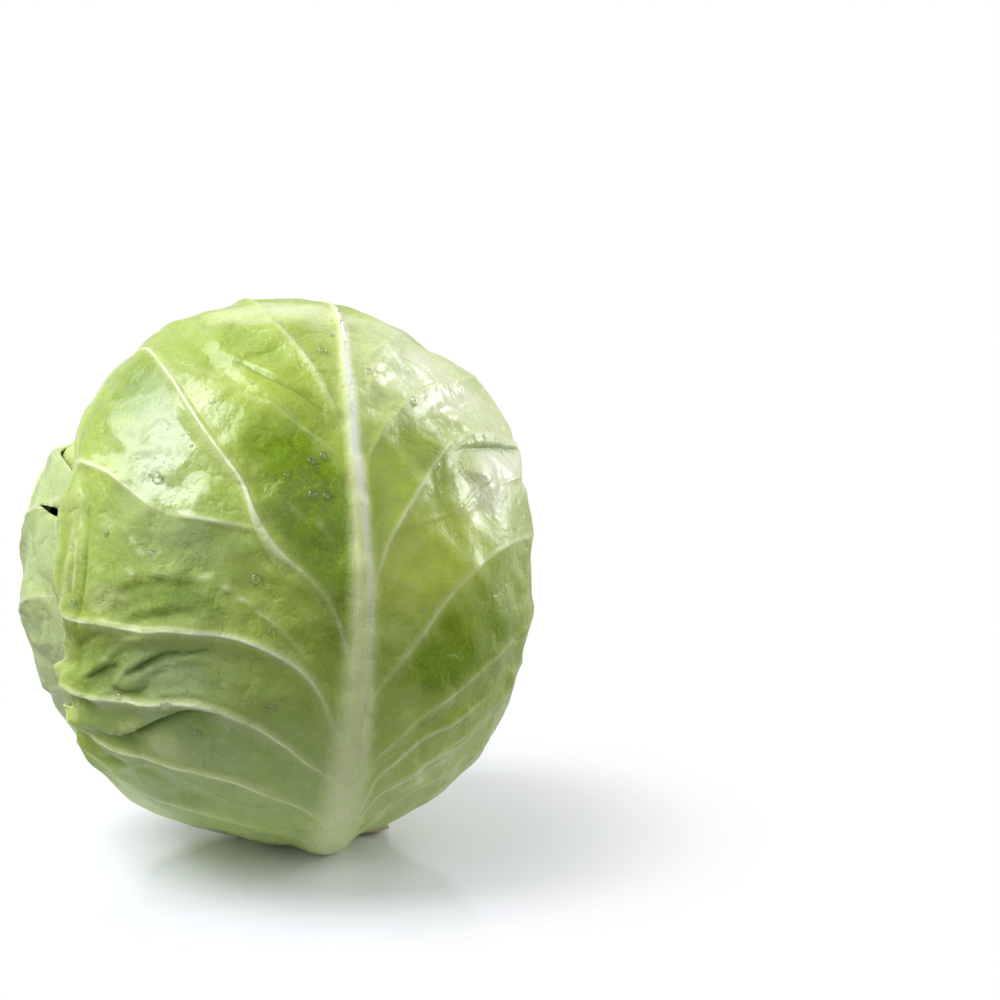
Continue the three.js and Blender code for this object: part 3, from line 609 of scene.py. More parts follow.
# The whole of it: where it lies round the head, the seed of its unevenness, its cells across and up,
# its midrib, and where its side veins leave that. Each side vein has a height in millimetres at its
# root and at its end, and each space between two veins a depth to which it sinks. "wavy" says how
# wavy its margin is at each side vein, and "paint" how strongly its veins are coloured.
FRONT_LEAF = {
    "azimuth": 16, "seed": 11, "cells": (204, 216), "paint": 1.0, "torn": False,
    "midrib": [(10, -84), (7.8, -74), (5, -60), (3.9, -40), (3.4, -20), (4.4, 0), (5.4, 20),
               (6.8, 40), (9.8, 60), (16, 80), (20, 94)],
    "roots": [-84, -66, -52, -43, -32, -19, -9, 22, 35, 76],
    "veins": {
        "left": [(0, 0), (0.7, 0.3), (1.6, 1.2), (1.9, 1.6), (1.7, 1.6), (-1.3, 1.6), (1.2, 1.0),
                 (0.1, 0.1), (0.8, 0.5), (0.6, 0.3)],
        "right": [(0, 0), (0.6, 0.2), (0.7, 0.2), (0.8, 0.3), (0.9, 0.3), (-0.4, 0.6), (0.8, 0.7),
                  (0.7, 0.5), (0.4, 0.3), (0.6, 0.3)],
    },
    "sags": {
        "left": [0.5, 0.9, 1.5, 1.6, 1.1, 1.3, 0.9, 0.6, 0.5],
        "right": [0.5, 0.8, 0.8, 0.8, 0.7, 0.9, 1.1, 0.8, 0.5],
    },
    "wavy": {"left": lambda v: 1 - 0.8 * smooth(v, 4.2, 5.5), "right": lambda v: 0.15 + 0 * v},
    "lines": FRONT_LINES, "wrinkles": FRONT_WRINKLES, "folds": FRONT_FOLDS, "pockets": FRONT_POCKETS,
}

# The leaves under it: where each lies round the head, how far up its tip reaches, half its width
# and how far its midrib bends sideways, all in degrees, and the seed of its unevenness.
UNDER_LEAVES = {
    "back_leaf": (170, 92, 68, -10, 23),
    "left_leaf": (-104, 32.5, 62, 6, 37),
    "right_leaf": (97, 66, 62, 9, 41),
    "under_leaf": (-140, 92, 62, 8, 59),
}

# A tear in the left leaf: x and y in degrees, its half length and half width in millimetres, and how
# far it turns from level. The raised lip round it, and that leaf's folds, set down as the front
# leaf's are.
TEAR = (37.5, 21.5, 13, 1.4, 8)
TEAR_LIP = 0.6
TEAR_ROUNDNESS = 1.3
LEFT_FOLDS = [
    ([(35, 6.5), (41, 7), (47, 6.8), (55, 5)], 0.8, 3.0, 1.2, 2.5, 0.6),
    ([(36, 13), (43, 10), (50, 13)], 0.5, 2.5, 0.5, 2.0, 0.2),
    ([(30, 29), (40, 30), (48, 31), (58, 31)], 0.9, 2.5, 0.8, 3.0, 0.3),
]

# One pattern of growth for those leaves, as shares of their length and half width: where the midrib's
# points and the side veins' points lie along them, where the side veins leave the midrib, and how far
# up and how far out each after the first ends. Then how strongly they curve on the way.
MIDRIB_PLACES = (0, 0.25, 0.5, 0.75, 1)
VEIN_PLACES = (0.15, 0.35, 0.6, 0.8, 1)
VEIN_ROOTS = [0, 0.1, 0.22, 0.36, 0.51, 0.66, 0.84]
VEIN_ENDS = [0.25, 0.42, 0.59, 0.78, 0.96]
VEIN_SPREAD = [0.96, 1.0, 0.98, 0.95, 0.86]
VEIN_RISE = 1.9
GROWN_CELLS = (130, 150)
GROWN_SAG, GROWN_WAVE, GROWN_PAINT = 0.9, 0.6, 0.6
# The height of a side vein in millimetres at its root, how much less that is for each vein further
# up, and its height at its end.
GROWN_VEIN, GROWN_VEIN_LESS, GROWN_VEIN_END = 1.9, 0.15, 0.7
# How unevenly veins grow: as shares of their reach out and up, and in degrees along their lines.
UNEVEN_OUT, UNEVEN_UP, UNEVEN_LINE = 0.05, 0.02, 1.2

# The lowest line of each, where it clasps the stalk, in degrees on a leaf of this half width, and how
# far inside the stalk's side it starts in millimetres.
CLASP = [(10, -9), (26, -7), (42, 3), (53, 16)]
CLASP_HALF_WIDTH = 62
CLASP_DEPTH = 4


def seeded(seed):
    """The same run of random shares each time for one seed."""
    state = seed
    while True:
        state = (state * 48271) % 2147483647
        yield state / 2147483647


def grow_leaf(azimuth, tip, half_width, bend, seed):
    """A leaf that follows the pattern of growth, a little unevenly."""
    draw = seeded(seed)

    def jitter(amount):
        return (next(draw) * 2 - 1) * amount

    out = towards(azimuth, 0)
    down = -HEAD_CENTRE / np.linalg.norm(HEAD_CENTRE)
    reach = math.acos(down @ out) / DEGREE
    turn = math.atan2(down[2], down @ np.array([-out[1], out[0], 0]))
    base_x = reach * math.cos(turn)
    base_y = reach * math.sin(turn) + (STEM_RADIUS - CLASP_DEPTH) / MM_PER_DEGREE
    length = tip - base_y
    midrib = [
        (mix(base_x, bend, smooth(share, 0, 0.5)) + bend * share * share, base_y + length * share)
        for share in MIDRIB_PLACES
    ]
    roots = [base_y + length * share for share in VEIN_ROOTS]
    lines = {}
    for side, hand in (("left", -1), ("right", 1)):
        clasp = [(base_x + hand * x * half_width / CLASP_HALF_WIDTH, base_y + y) for x, y in CLASP]
        lines[side] = [clasp]
        for root, end, spread in zip(roots[1:], VEIN_ENDS, VEIN_SPREAD):
            end_x = half_width * spread * (1 + jitter(UNEVEN_OUT))
            rise = base_y + length * (end + jitter(UNEVEN_UP)) - root
            start_x = float(midrib_x(midrib, root))
            lines[side].append([
                (start_x + (hand * end_x + bend * 0.5 - start_x) * t ** 1.3,
                 root + rise * (1 - (1 - t) ** VEIN_RISE) + jitter(UNEVEN_LINE))
                for t in VEIN_PLACES
            ])
        heights = mix(roots[-1], tip, 0.5), tip
        lines[side].append([(float(midrib_x(midrib, y)), y) for y in heights])
    veins = [(0, 0)]
    veins += [(GROWN_VEIN - GROWN_VEIN_LESS * i, GROWN_VEIN_END) for i in range(1, len(roots))]
    sags = [GROWN_SAG] * (len(roots) - 1)

    def wavy(v):
        return GROWN_WAVE + 0 * v

    return {
        "azimuth": azimuth, "seed": seed, "cells": GROWN_CELLS, "paint": GROWN_PAINT, "torn": False,
        "midrib": midrib, "roots": roots, "lines": lines, "wrinkles": [], "folds": [], "pockets": [],
        "veins": {"left": veins, "right": veins}, "sags": {"left": sags, "right": sags},
        "wavy": {"left": wavy, "right": wavy},
    }


def offset_from(ways, track):
    """Millimetres from each way to a track on the head, positive on the track's left seen from
    outside, with the part of the track that is nearest and the way to its left there."""
    best = np.full(len(ways), 1e9)
    signed, part, left = best.copy(), np.zeros(len(ways)), np.zeros((len(ways), 3))
    for i, (first, last) in enumerate(zip(track[:-1], track[1:])):
        step = last - first
        t = np.clip((ways - first) @ step / (step @ step), 0, 1)
        gap = ways - first - t[:, None] * step
        distance = np.linalg.norm(gap, axis=1)
        nearer = distance < best
        beside = np.cross(ways, step / np.linalg.norm(step))
        best[nearer] = distance[nearer]
        signed[nearer] = (distance * np.sign(np.einsum("ij,ij->i", beside, gap)))[nearer]
        part[nearer] = (i + t[nearer]) / (len(track) - 1)
        left[nearer] = beside[nearer]
    return signed * HEAD_RADIUS, part, left


def near_track(leaf, ways, points, reach=16):
    """Which ways are near a line through points, their offsets, a fade at its ends, and its left."""
    x, y = along(points, np.linspace(0, 1, 5 * (len(points) - 1) + 1)).T
    track = leaf_way(leaf, x, y)
    middle = track.mean(axis=0)
    span = np.linalg.norm(track - middle, axis=1).max() + reach / HEAD_RADIUS
    near = np.flatnonzero(np.linalg.norm(ways - middle, axis=1) < span)
    offset, part, left = offset_from(ways[near], track)
    return near, offset, np.sqrt(np.sin(math.pi * np.clip(part, 0, 1)).clip(0)), left


def crinkle(ways, seed, length, waves=14):
    """Smooth seeded unevenness, about 1 high, with waves of about a length in millimetres."""
    draw = np.random.default_rng(seed)
    total = np.zeros(len(ways))
    for _ in range(waves):
        facing = draw.normal(size=3)
        facing /= np.linalg.norm(facing)
        pace = 2 * math.pi * HEAD_RADIUS / (length * draw.uniform(0.7, 1.5))
        total += np.sin(ways @ facing * pace + draw.uniform(0, 6.3))
    return total * math.sqrt(2 / waves)


def midrib_relief(leaf, a, x, y, taper):
    """A midrib's height, and what its finish needs to know: how far each place is from its line, the
    bright cores along its crest, which are pale flesh with a painted highlight, and how near the leaf's
    base it is."""
    narrowed = np.cos(np.clip(y, -60, 60) * DEGREE) ** 0.3
    aside = (x - midrib_x(leaf["midrib"], y)) * MM_PER_DEGREE * narrowed
    crest = mix(*MIDRIB_CREST, taper ** 1.15)
    away = np.abs(aside) / crest
    higher = smooth(y, 16, 40)
    core = ridge((aside / crest - mix(0.6, 0.25, higher)) / mix(0.5, 1.15, higher))
    fainter_core = 0.35 * ridge((aside / crest + 0.5) / 0.4)
    profile = FOOT_SHARE * ridge(aside / mix(*MIDRIB_FOOT, taper))
    profile += CREST_SHARE * (1 - smooth(away, 0.0, 1.4)) + CORE_SHARE * core
    height = mix(*MIDRIB_HEIGHT, taper ** 1.3) * profile * smooth(a, MIDRIB_REACH, 0.3)
    return height, {
        "rib": away,
        "core": np.maximum(core, fainter_core) * smooth(y, -30, 40) * (a < MIDRIB_REACH),
        "base": taper * (1 - smooth(np.abs(aside), 6, 34)),
    }


def vein_relief(leaf, side, a, v, index, gap):
    """The height of the side veins, how far each place is from the nearest one that shows, and how
    bold that one is. Each place lies in the gap between the vein at its index and the next."""
    heights = np.asarray(leaf["veins"][side])
    height, claim = np.zeros(len(a)), np.full(len(a), -1.0)
    nearest, bold = np.zeros(len(a)), np.zeros(len(a))
    for line, distance in ((index, (v - index) * gap), (index + 1, (index + 1 - v) * gap)):
        tall = np.maximum(0, mix(heights[line, 0], heights[line, 1], a))
        away = distance / mix(*VEIN_CREST, a)
        foot = np.minimum(mix(*VEIN_FOOT, a), gap)
        height = np.maximum(height, tall * (0.55 * ridge(away) + 0.45 * ridge(distance / foot)))
        strong = np.clip(tall / BOLD_VEIN_HEIGHT, 0, 1)
        shows = strong * (1 - away / 8)
        stronger = shows > claim
        claim = np.where(stronger, shows, claim)
        nearest, bold = np.where(stronger, away, nearest), np.where(stronger, strong, bold)
    height *= smooth(a, 0, 0.05) * mix(0.45, 1, smooth(a, 0.05, 0.3)) * mix(0.3, 1, smooth(a, 1.0, 0.9))
    return height, nearest, bold


def blade_relief(leaf, side, a, v, x, y):
    """The height of a blade's surface over the head's, and what its finish needs to know there."""
    index = vein_below(leaf, v)
    root_y = four_round(leaf["roots"], index, v - index)
    low, high = leaf["roots"][0], leaf["midrib"][-1][1]
    taper = (1 - np.clip((root_y - low) / (high - low), 0, 1)) ** MIDRIB_TAPER
    midrib, marks = midrib_relief(leaf, a, x, y, taper)

    first, second = net_point(leaf, side, a, index * 1.0), net_point(leaf, side, a, index + 1.0)
    ahead = net_point(leaf, side, a + 0.01, v)
    run_x, run_y = ahead[0] - x, ahead[1] - y
    run = np.maximum(np.hypot(run_x, run_y), 1e-9)
    across = (second[0] - first[0]) * (run_y / run) - (second[1] - first[1]) * (run_x / run)
    gap = np.maximum(1, np.abs(across) * MM_PER_DEGREE)
    vein, nearest, bold = vein_relief(leaf, side, a, v, index, gap)

    within = np.clip(v - index, 0, 1)
    wavy = leaf["wavy"][side](v)
    hollow = np.sin(math.pi * within ** 1.7) ** 2 * smooth(a, 0.08, 0.42)
    hollow *= (1 - 0.75 * smooth(a, 0.55, 0.95) * (1 - wavy)) * smooth(gap, 5, 20)
    sag = np.asarray(leaf["sags"][side])[index] * hollow * (1 - midrib / 5)
    wave = MARGIN_WAVE * wavy * np.sin(v * 7.3 + leaf["seed"]) * smooth(a, 0.72, 1)
    lip = MARGIN_LIP * ridge((a - 0.94) / 0.03) * smooth(v, 0.5, 1.5) * wavy
    tuck = MARGIN_TUCK * smooth(a, 0.9, 1.0) * (0.35 + 0.65 * smooth(v, 0.4, 1.2))
    marks.update({
        "vein": nearest, "bold": bold * leaf["paint"] * mix(0.25, 1, smooth(a, 0.1, 0.45)),
        "reach": a, "flow": np.stack([a * LEAF_REACH, v * ROW_PITCH, 0 * a], 1),
    })
    return np.maximum(midrib, vein) - sag + wave + lip - tuck, marks


# A fold in millimetres: the half width in which it turns from high to low, where the slide of its lip
# starts and is full, how far back that reaches, and the half width in which its painted shade ends.
FOLD_TURN, SLIDE_START, SLIDE_FULL, SLIDE_REACH, SHADE_TURN = 0.8, -0.7, 0.9, 3, 0.9


def add_details(leaf, ways, height, marks):
    """Adds a leaf's wrinkles, folds and pockets, and a fine unevenness all over, and marks the painted
    shade in grooves, under the folds' lips and in pockets. Returns the heights and how far the lips of
    the folds slide over what is below them."""
    marks["line"], marks["crease"] = np.zeros(len(ways)), np.zeros(len(ways))
    slide = np.zeros((len(ways), 3))
    for points, tall, half_width, pale in leaf["wrinkles"]:
        near, offset, fade, _ = near_track(leaf, ways, points)
        height[near] += tall * fade * ridge(offset / half_width)
        mark = marks["line" if pale > 0 else "crease"]
        mark[near] = np.maximum(mark[near], abs(pale) * fade * ridge(offset / (0.9 * half_width)))
    for points, rise, rise_reach, sink, sink_reach, hang in leaf["folds"]:
        near, offset, fade, left = near_track(leaf, ways, points, 4 * max(rise_reach, sink_reach))
        above = rise * np.exp(-np.maximum(offset, 0) / rise_reach)
        below = -sink * np.exp(np.minimum(offset, 0) / sink_reach)
        height[near] += fade * mix(below, above, smooth(offset, -FOLD_TURN, FOLD_TURN))
        over = hang * fade * np.exp(-np.maximum(offset, 0) / SLIDE_REACH)
        over *= smooth(offset, SLIDE_START, SLIDE_FULL)
        slide[near] -= over[:, None] * left
        # Painted shade under the lip, fading out beyond it.
        under = np.exp(np.minimum(offset + hang, 0) / (0.8 * sink_reach))
        dark = fade * min(1, 0.5 * sink) * under * (1 - smooth(offset, -SHADE_TURN, SHADE_TURN))
        marks["crease"][near] = np.maximum(marks["crease"][near], dark)
    for x, y, half_length, half_width, depth, dark in leaf["pockets"]:
        dx, dy = ((ways - leaf_way(leaf, x, y)) @ axis * HEAD_RADIUS for axis in leaf["axes"][1:])
        inside = ridge(np.minimum(np.hypot(dx / half_length, dy / half_width) / 1.6, 1))
        height -= depth * inside
        marks["crease"] = np.maximum(marks["crease"], dark * inside)
    height += sum(high * crinkle(ways, leaf["seed"] + i, length)
                  for i, (length, high) in enumerate(CRINKLES))
    return np.maximum(height, LOWEST_RELIEF), slide


def torn(x, y, row):
    """Which places of a grid are inside the tear, how far all are from its middle as a share of its
    size, and the places again with those just outside drawn in to its lips."""
    at_x, at_y, half_length, half_width, turn = TEAR
    u, w = turned((x - at_x) * MM_PER_DEGREE, (y - at_y) * MM_PER_DEGREE, turn)
    share = np.abs(u / half_length) ** TEAR_ROUNDNESS + np.abs(w / half_width) ** TEAR_ROUNDNESS
    share = share ** (1 / TEAR_ROUNDNESS)
    hole = share < 1
    grown = hole.reshape(-1, row)
    for axis in (0, 1):
        grown = grown | np.roll(grown, 1, axis) | np.roll(grown, -1, axis)
    pull = np.where(grown.ravel() & ~hole, 1 / np.maximum(share, 0.1), 1)
    return hole, share, at_x + (x - at_x) * pull, at_y + (y - at_y) * pull


# How much closer a grid's columns stand near the midrib, and its rows near the side veins.
COLUMN_CROWDING, ROW_CROWDING = 1.2, 0.35


def lay_leaf(name, leaf, outer):
    """Lays a grid on the head as one leaf's blade, shapes its surface and gives it a thickness."""
    across, down = leaf["cells"]
    bpy.ops.mesh.primitive_grid_add(x_subdivisions=across, y_subdivisions=down, size=2)
    blade = bpy.context.active_object
    blade.name = blade.data.name = name
    grid = places(blade)
    a = np.abs(grid[:, 0]) ** COLUMN_CROWDING
    rows = (grid[:, 1] + 1) / 2 * leaf["last"]
    v = rows - ROW_CROWDING * np.sin(2 * math.pi * rows) / (2 * math.pi)
    v = np.clip(v, 0, leaf["last"])
    x, y = np.zeros(len(a)), np.zeros(len(a))
    height, marks = np.zeros(len(a)), {}
    for side, half in (("left", grid[:, 0] < -1e-6), ("right", grid[:, 0] >= -1e-6)):
        x[half], y[half] = net_point(leaf, side, a[half], v[half])
        height[half], found = blade_relief(leaf, side, a[half], v[half], x[half], y[half])
        for mark, values in found.items():
            marks.setdefault(mark, np.zeros((len(a), *values.shape[1:])))[half] = values
    hole = np.zeros(len(a), bool)
    if leaf["torn"]:
        hole, share, x, y = torn(x, y, across + 1)
        height += TEAR_LIP * ridge((share - 1.2) / 0.9)
    ways = leaf_way(leaf, x, y)
    height, slide = add_details(leaf, ways, height, marks)
    depth, shown = layering(outer, ways)
    radius = lowest(ways, head_radius(ways) - depth + height * shown)
    put(blade, (HEAD_CENTRE + ways * radius[:, None] + slide * shown[:, None]) * MM)
    note(blade, **marks)
    choose(blade)
    bpy.ops.object.mode_set(mode="EDIT")
    bpy.ops.mesh.select_all(action="DESELECT")
    bpy.ops.object.mode_set(mode="OBJECT")
    blade.data.vertices.foreach_set("select", hole)
    bpy.ops.object.mode_set(mode="EDIT")
    bpy.ops.mesh.delete(type="VERT")
    bpy.ops.mesh.select_all(action="SELECT")
    bpy.ops.mesh.remove_doubles(threshold=MERGE_WITHIN * MM)
    bpy.ops.object.mode_set(mode="OBJECT")
    finish_with(blade, "SOLIDIFY", thickness=LEAF_THICKNESS * MM, offset=-1)
    bpy.ops.object.shade_smooth()
    return blade


# Colours of the waxy skin: the lamina, its deep green patches, its pale stretches and its veins.
LEAF_COLOURS = {
    "front_leaf": ((0.34, 0.45, 0.07), (0.16, 0.27, 0.0), (0.62, 0.70, 0.30), (0.86, 0.90, 0.64)),
    "back_leaf": ((0.34, 0.45, 0.10), (0.16, 0.26, 0.01), (0.60, 0.67, 0.33), (0.70, 0.76, 0.44)),
    "left_leaf": ((0.46, 0.56, 0.24), (0.31, 0.42, 0.12), (0.64, 0.71, 0.42), (0.76, 0.80, 0.52)),
    "right_leaf": ((0.44, 0.53, 0.17), (0.26, 0.36, 0.05), (0.62, 0.69, 0.34), (0.70, 0.75, 0.42)),
    "under_leaf": ((0.50, 0.60, 0.20), (0.36, 0.46, 0.10), (0.66, 0.72, 0.40), (0.72, 0.77, 0.46)),
}
# The midrib's colour, the pale core on its crest, which is partly a painted highlight, and its colour
# near the base.
RIB_COLOUR = (0.86, 0.94, 0.38, 1)
RIB_CREST_AND_HIGHLIGHT_COLOUR = (0.94, 0.96, 0.80, 1)
RIB_BASE_COLOUR = (0.64, 0.69, 0.37, 1)
# The blue-grey of the wax's bloom, which also stands for a painted sheen.
BLOOM_AND_SHEEN_COLOUR = (0.27, 0.36, 0.15, 1)
WARM_COLOUR = (0.40, 0.49, 0.06, 1)
NET_COLOUR = (0.50, 0.60, 0.10, 1)
BRIGHT_COLOUR = (0.53, 0.63, 0.06, 1)

# How much of the deep green is left in the painted shade of creases, folds and pockets, and the
# heights in millimetres that each pattern of the skin gives it.
CREASE_SHADE = 0.75
PATCHY_HEIGHT, SMALL_HEIGHT, GRAIN_HEIGHT = 0.34, 0.13, 0.016
FINEST_HEIGHT, FINE_HEIGHT, FEATHER_HEIGHT, HAIR_HEIGHT = 0.015, 0.05, 0.10, 0.06
FACET_HEIGHT = (0.15, 0.8)


def skin_patterns(start):
    """What the skin's colour and its relief both follow: patches from broad ones down to a grain, two
    nets of hair-thin veins, and what was kept of the veins, the midrib and the bloom, which is partly a
    painted sheen."""
    place = start.node("TexCoord", output="Object")
    flow = start.kept("flow", "Vector")
    wander = start.noise(place, 140, 3, output="Color")
    bold = start.kept("bold")
    patchy = start.noise(place, 75, 4, 0.6)
    small = start.noise(place, 240, 4, 0.65)
    hairs = start.noise(start.vector("MULTIPLY", flow, (2.3, 0.35, 1)), 1.0, 3)
    from_vein = start.kept("vein")
    feather = from_vein.smooth(0.3, 3.0, 1, 0) * hairs.smooth(0.45, 0.7)
    fine_net = start.cells(start.shifted(flow, wander, 7.0), 0.15)
    finest_net = start.cells(start.shifted(place, wander, 0.006), 420)
    return SimpleNamespace(
        broad=start.noise(place, 26, 3), patchy=patchy, small=small, hairs=hairs,
        grain=start.noise(place, 1100, 2, 0.7), wax=start.noise(place, 50, 4, 0.6),
        fine=fine_net.smooth(0.0, 0.05, 1, 0) * patchy.smooth(0.45, 0.7),
        finest=finest_net.smooth(0.0, 0.16, 1, 0),
        facets=start.cells(start.shifted(place, wander, 0.012), 62).smooth(0.0, 0.5),
        from_vein=from_vein, bold=bold, feather=feather * small.smooth(0.3, 0.6, 0.1, 0.6),
        on_rib=(start.kept("rib") + (hairs - 0.5) * 0.5).smooth(0.2, 1.6, 1, 0),
        bloom_and_sheen=start.kept("bloom_and_sheen") + (start.noise(place, 34, 3) - 0.5) * 1.1,
    )


def skin_colour(start, skin, colours):
    """Mottled green, which carries painted shade and painted highlight in places, under its bloom and
    painted sheen, then the veins on it, and the midrib over them. Creases get painted shade.
    """
    lamina, deep, pale, vein = ((*colour, 1) for colour in colours)
    shaded = tuple(CREASE_SHADE * part for part in colours[1]) + (1,)
    # Deep green and pale mottling, with painted shadow and painted highlight where the front leaf's
    # patches put them.
    depth = start.kept("patch_and_painted_light") + (skin.broad - 0.5) * 1.7
    depth = depth + (skin.patchy - 0.5) * 1.3 + (skin.small - 0.5) * 0.8
    colour = depth.smooth(0.05, 1.0).between(lamina, deep)
    colour = depth.smooth(0.0, -1.0).between(colour, pale)
    colour = depth.smooth(-0.9, -2.2, 0, 0.8).between(colour, vein)
    warm = skin.from_vein.smooth(1, 6, 1, 0) * skin.bold * 0.4
    colour = warm.between(colour, WARM_COLOUR)
    # Blue-grey bloom, partly the wax's own and partly a painted sheen.
    bloomed = skin.bloom_and_sheen.smooth(0.0, 1.2) * skin.patchy.smooth(0.25, 0.7, 0.6, 1)
    colour = bloomed.between(colour, BLOOM_AND_SHEEN_COLOUR)
    bright = skin.bloom_and_sheen.smooth(0.0, -1.1) * skin.small.smooth(0.3, 0.65, 0.5, 0.95)
    colour = bright.between(colour, BRIGHT_COLOUR)
    netted = skin.finest * 0.08 + skin.fine * 0.30 + skin.grain.smooth(0.5, 0.8) * 0.28
    colour = netted.between(colour, NET_COLOUR)
    colour = (skin.grain.smooth(0.5, 0.25) * 0.25).between(colour, deep)
    # Painted shade in grooves, under fold lips, in pockets and along the heart's leaf edges.
    colour = (start.kept("crease") * 0.85).between(colour, shaded)

    # Pale lines: fine veins, and on the left lip and the hem's roll partly a painted highlight.
    line = start.kept("line")
    band = start.math("MAXIMUM", skin.from_vein.smooth(0.2, 2.2, 0.65, 0), skin.feather) * skin.bold
    colour = start.math("MAXIMUM", band, line * 0.55).between(colour, pale)
    core = skin.from_vein.smooth(0.0, 0.6, 1, 0) * skin.bold + line.smooth(0.3, 0.9) * 0.4
    colour = (core * skin.patchy.smooth(0.35, 0.6, 0.25, 0.95)).between(colour, vein)

    rib_colour = start.kept("base").smooth(0.1, 0.7).between(RIB_COLOUR, RIB_BASE_COLOUR)
    rib_colour = (skin.hairs.smooth(0.45, 0.7) * 0.25).between(rib_colour, lamina)
    # The crest's pale core, partly a painted highlight.
    rib_colour = start.kept("core").between(rib_colour, RIB_CREST_AND_HIGHLIGHT_COLOUR)
    colour = (skin.on_rib * 0.94).between(colour, rib_colour)
    return start.kept("reach").smooth(0.965, 1.0, 0, 0.5).between(colour, pale)


def waxy_skin(name, colours):
    """Cabbage leaf: mottled green with a net of pale veins under a thin wax, which shines where it is
    rubbed and is dull with bloom elsewhere. Its colour carries painted shade, painted highlight and a
    painted sheen in places."""
    material, start, shader = finish_of(
        name, Subsurface_Weight=0.12, Subsurface_Scale=0.003, Subsurface_Radius=(0.8, 1.0, 0.25),
        Coat_Roughness=0.07, IOR=1.42)
    skin = skin_patterns(start)
    height = PATCHY_HEIGHT * skin.patchy + SMALL_HEIGHT * skin.small + GRAIN_HEIGHT * skin.grain
    height += FINEST_HEIGHT * skin.finest + FINE_HEIGHT * skin.fine
    height -= start.kept("bloom_and_sheen").smooth(-0.7, 0, *FACET_HEIGHT) * skin.facets
    height += FEATHER_HEIGHT * skin.feather * skin.bold + HAIR_HEIGHT * skin.hairs * skin.on_rib
    gloss = start.kept("gloss")
    rough = skin.wax.smooth(0.35, 0.65, 0.26, 0.38) + (skin.bloom_and_sheen.smooth(0, 1) - gloss) * 0.12
    coat = skin.wax.smooth(0.35, 0.65, 0.22, 0.03) * (1 - skin.on_rib) + gloss * 0.8
    feed(shader, Base_Color=skin_colour(start, skin, colours), Normal=start.bumped(height),
         Roughness=rough + skin.on_rib * 0.2, Coat_Weight=coat * (1 - start.kept("crease")))
    return material


# Deep green (positive) and pale (negative) patches of the front leaf: x, y, half length, half width
# in degrees, turn in degrees, strength. Most are the leaf's own mottling. The deep ones low on the
# right are partly painted shadow, and the strong pale ones high on the right and at the top are
# partly painted highlight.
FRONT_PATCHES_AND_PAINTED_LIGHT = [
    (-3, 22, 9, 20, 0, 0.9), (-10, 40, 8, 12, 20, 0.6), (-0.5, 12, 5, 14, 10, 0.8),
    (-7, 40, 5, 2.5, 30, 0.9), (-3, 30.5, 3.5, 4, 0, 1.0), (-9, 23, 5, 2.5, -35, 0.8),
    (11.5, 28.5, 3, 5, 0, 0.7), (15.5, 36, 3, 4, 0, 0.7), (-16, 41, 4, 3, 0, 0.6),
    (18, 14, 8, 8, 0, -0.5), (35, 14, 7, 5, 0, 1.0), (23, -8, 10, 10, -15, 1.2),
    (38, -8, 14, 12, -15, 1.0),
    (-46, 62, 8, 6, 30, 0.5), (-33, 8, 10, 3.5, -5, 0.8), (-32, 4, 11, 3, 0, 0.5),
    (-53, 16, 6, 5, 0, 0.4), (-28, 16, 9, 8, 0, 0.5), (-50, 8, 6, 4, 0, -1.0),
    (-40, -8, 9, 3, 25, 0.8), (-55, -16, 6, 3, 25, 0.7),
    (-30, -22, 12, 5, -10, 0.1), (-33, -50, 12, 4, 0, 0.2),
    (-40, -29, 11, 9, 0, -1.0), (30, 60, 22, 14, 10, -1.6),
    (52, 50, 18, 8, 0, -1.5), (54, 33, 18, 7, 0, -2.4), (42, 24, 8, 6, 0, -2.6),
    (0, 64, 16, 6, 0, 0.2), (2, 81, 24, 5, 0, -1.5), (-60, 25, 6, 14, 0, -0.3),
    (-25, 56, 10, 6, 0, -0.3), (24, -46, 26, 10, 20, -0.6),
]
# Where it has a blue-grey bloom (positive), which is partly the wax's own tone and partly a painted
# sheen, or is a brighter yellow green (negative), set down alike.
FRONT_BLOOM_AND_SHEEN = [
    (-20, -48, 45, 26, 0, 0.75), (-30, -20, 34, 14, 0, 0.6), (-38, -6, 22, 11, 0, 0.5),
    (-40, 45, 14, 20, 0, 0.9), (-35, 20, 14, 6, 0, 0.35), (-43, -11, 8, 3, 20, 0.5),
    (20, 14, 13, 14, 0, -0.9), (35, 15, 10, 7, 0, -1.0), (14, 36, 8, 12, 0, -0.5),
    (22, -28, 18, 12, 0, -0.3), (-40, 61, 9, 6, 0, 0.6), (-26, 10, 12, 12, 0, 0.5),
    (-12, 55, 16, 8, 0, -0.5), (36, -8, 10, 10, 0, -0.3),
]
# Where its wax has been rubbed to a shine.
FRONT_GLOSS = [
    (-38, 44, 14, 13, 0, 0.75), (-34, 31, 9, 7, 0, 0.6), (55, 34, 9, 7, 0, 0.35),
    (38, 56, 16, 12, 0, 0.2), (13, 60, 6, 8, 0, 0.5),
]


def blots(leaf, ways, patches):
    """Soft spots of strength on a leaf, added up."""
    total = np.zeros(len(ways))
    out, side, up = leaf["axes"]
    reach, turn = degrees_from(ways, out), np.arctan2(ways @ up, ways @ side)
    x, y = reach * np.cos(turn), reach * np.sin(turn)
    for at_x, at_y, half_length, half_width, tilt, strength in patches:
        u, w = turned(x - at_x, y - at_y, tilt)
        total += strength * np.exp(-(u / half_length) ** 2 - (w / half_width) ** 2)
    return total


leaves = {"front_leaf": prepare_leaf(FRONT_LEAF)}
for name, shape in UNDER_LEAVES.items():
    leaves[name] = prepare_leaf(grow_leaf(*shape))
leaves["left_leaf"].update(folds=LEFT_FOLDS, torn=True)

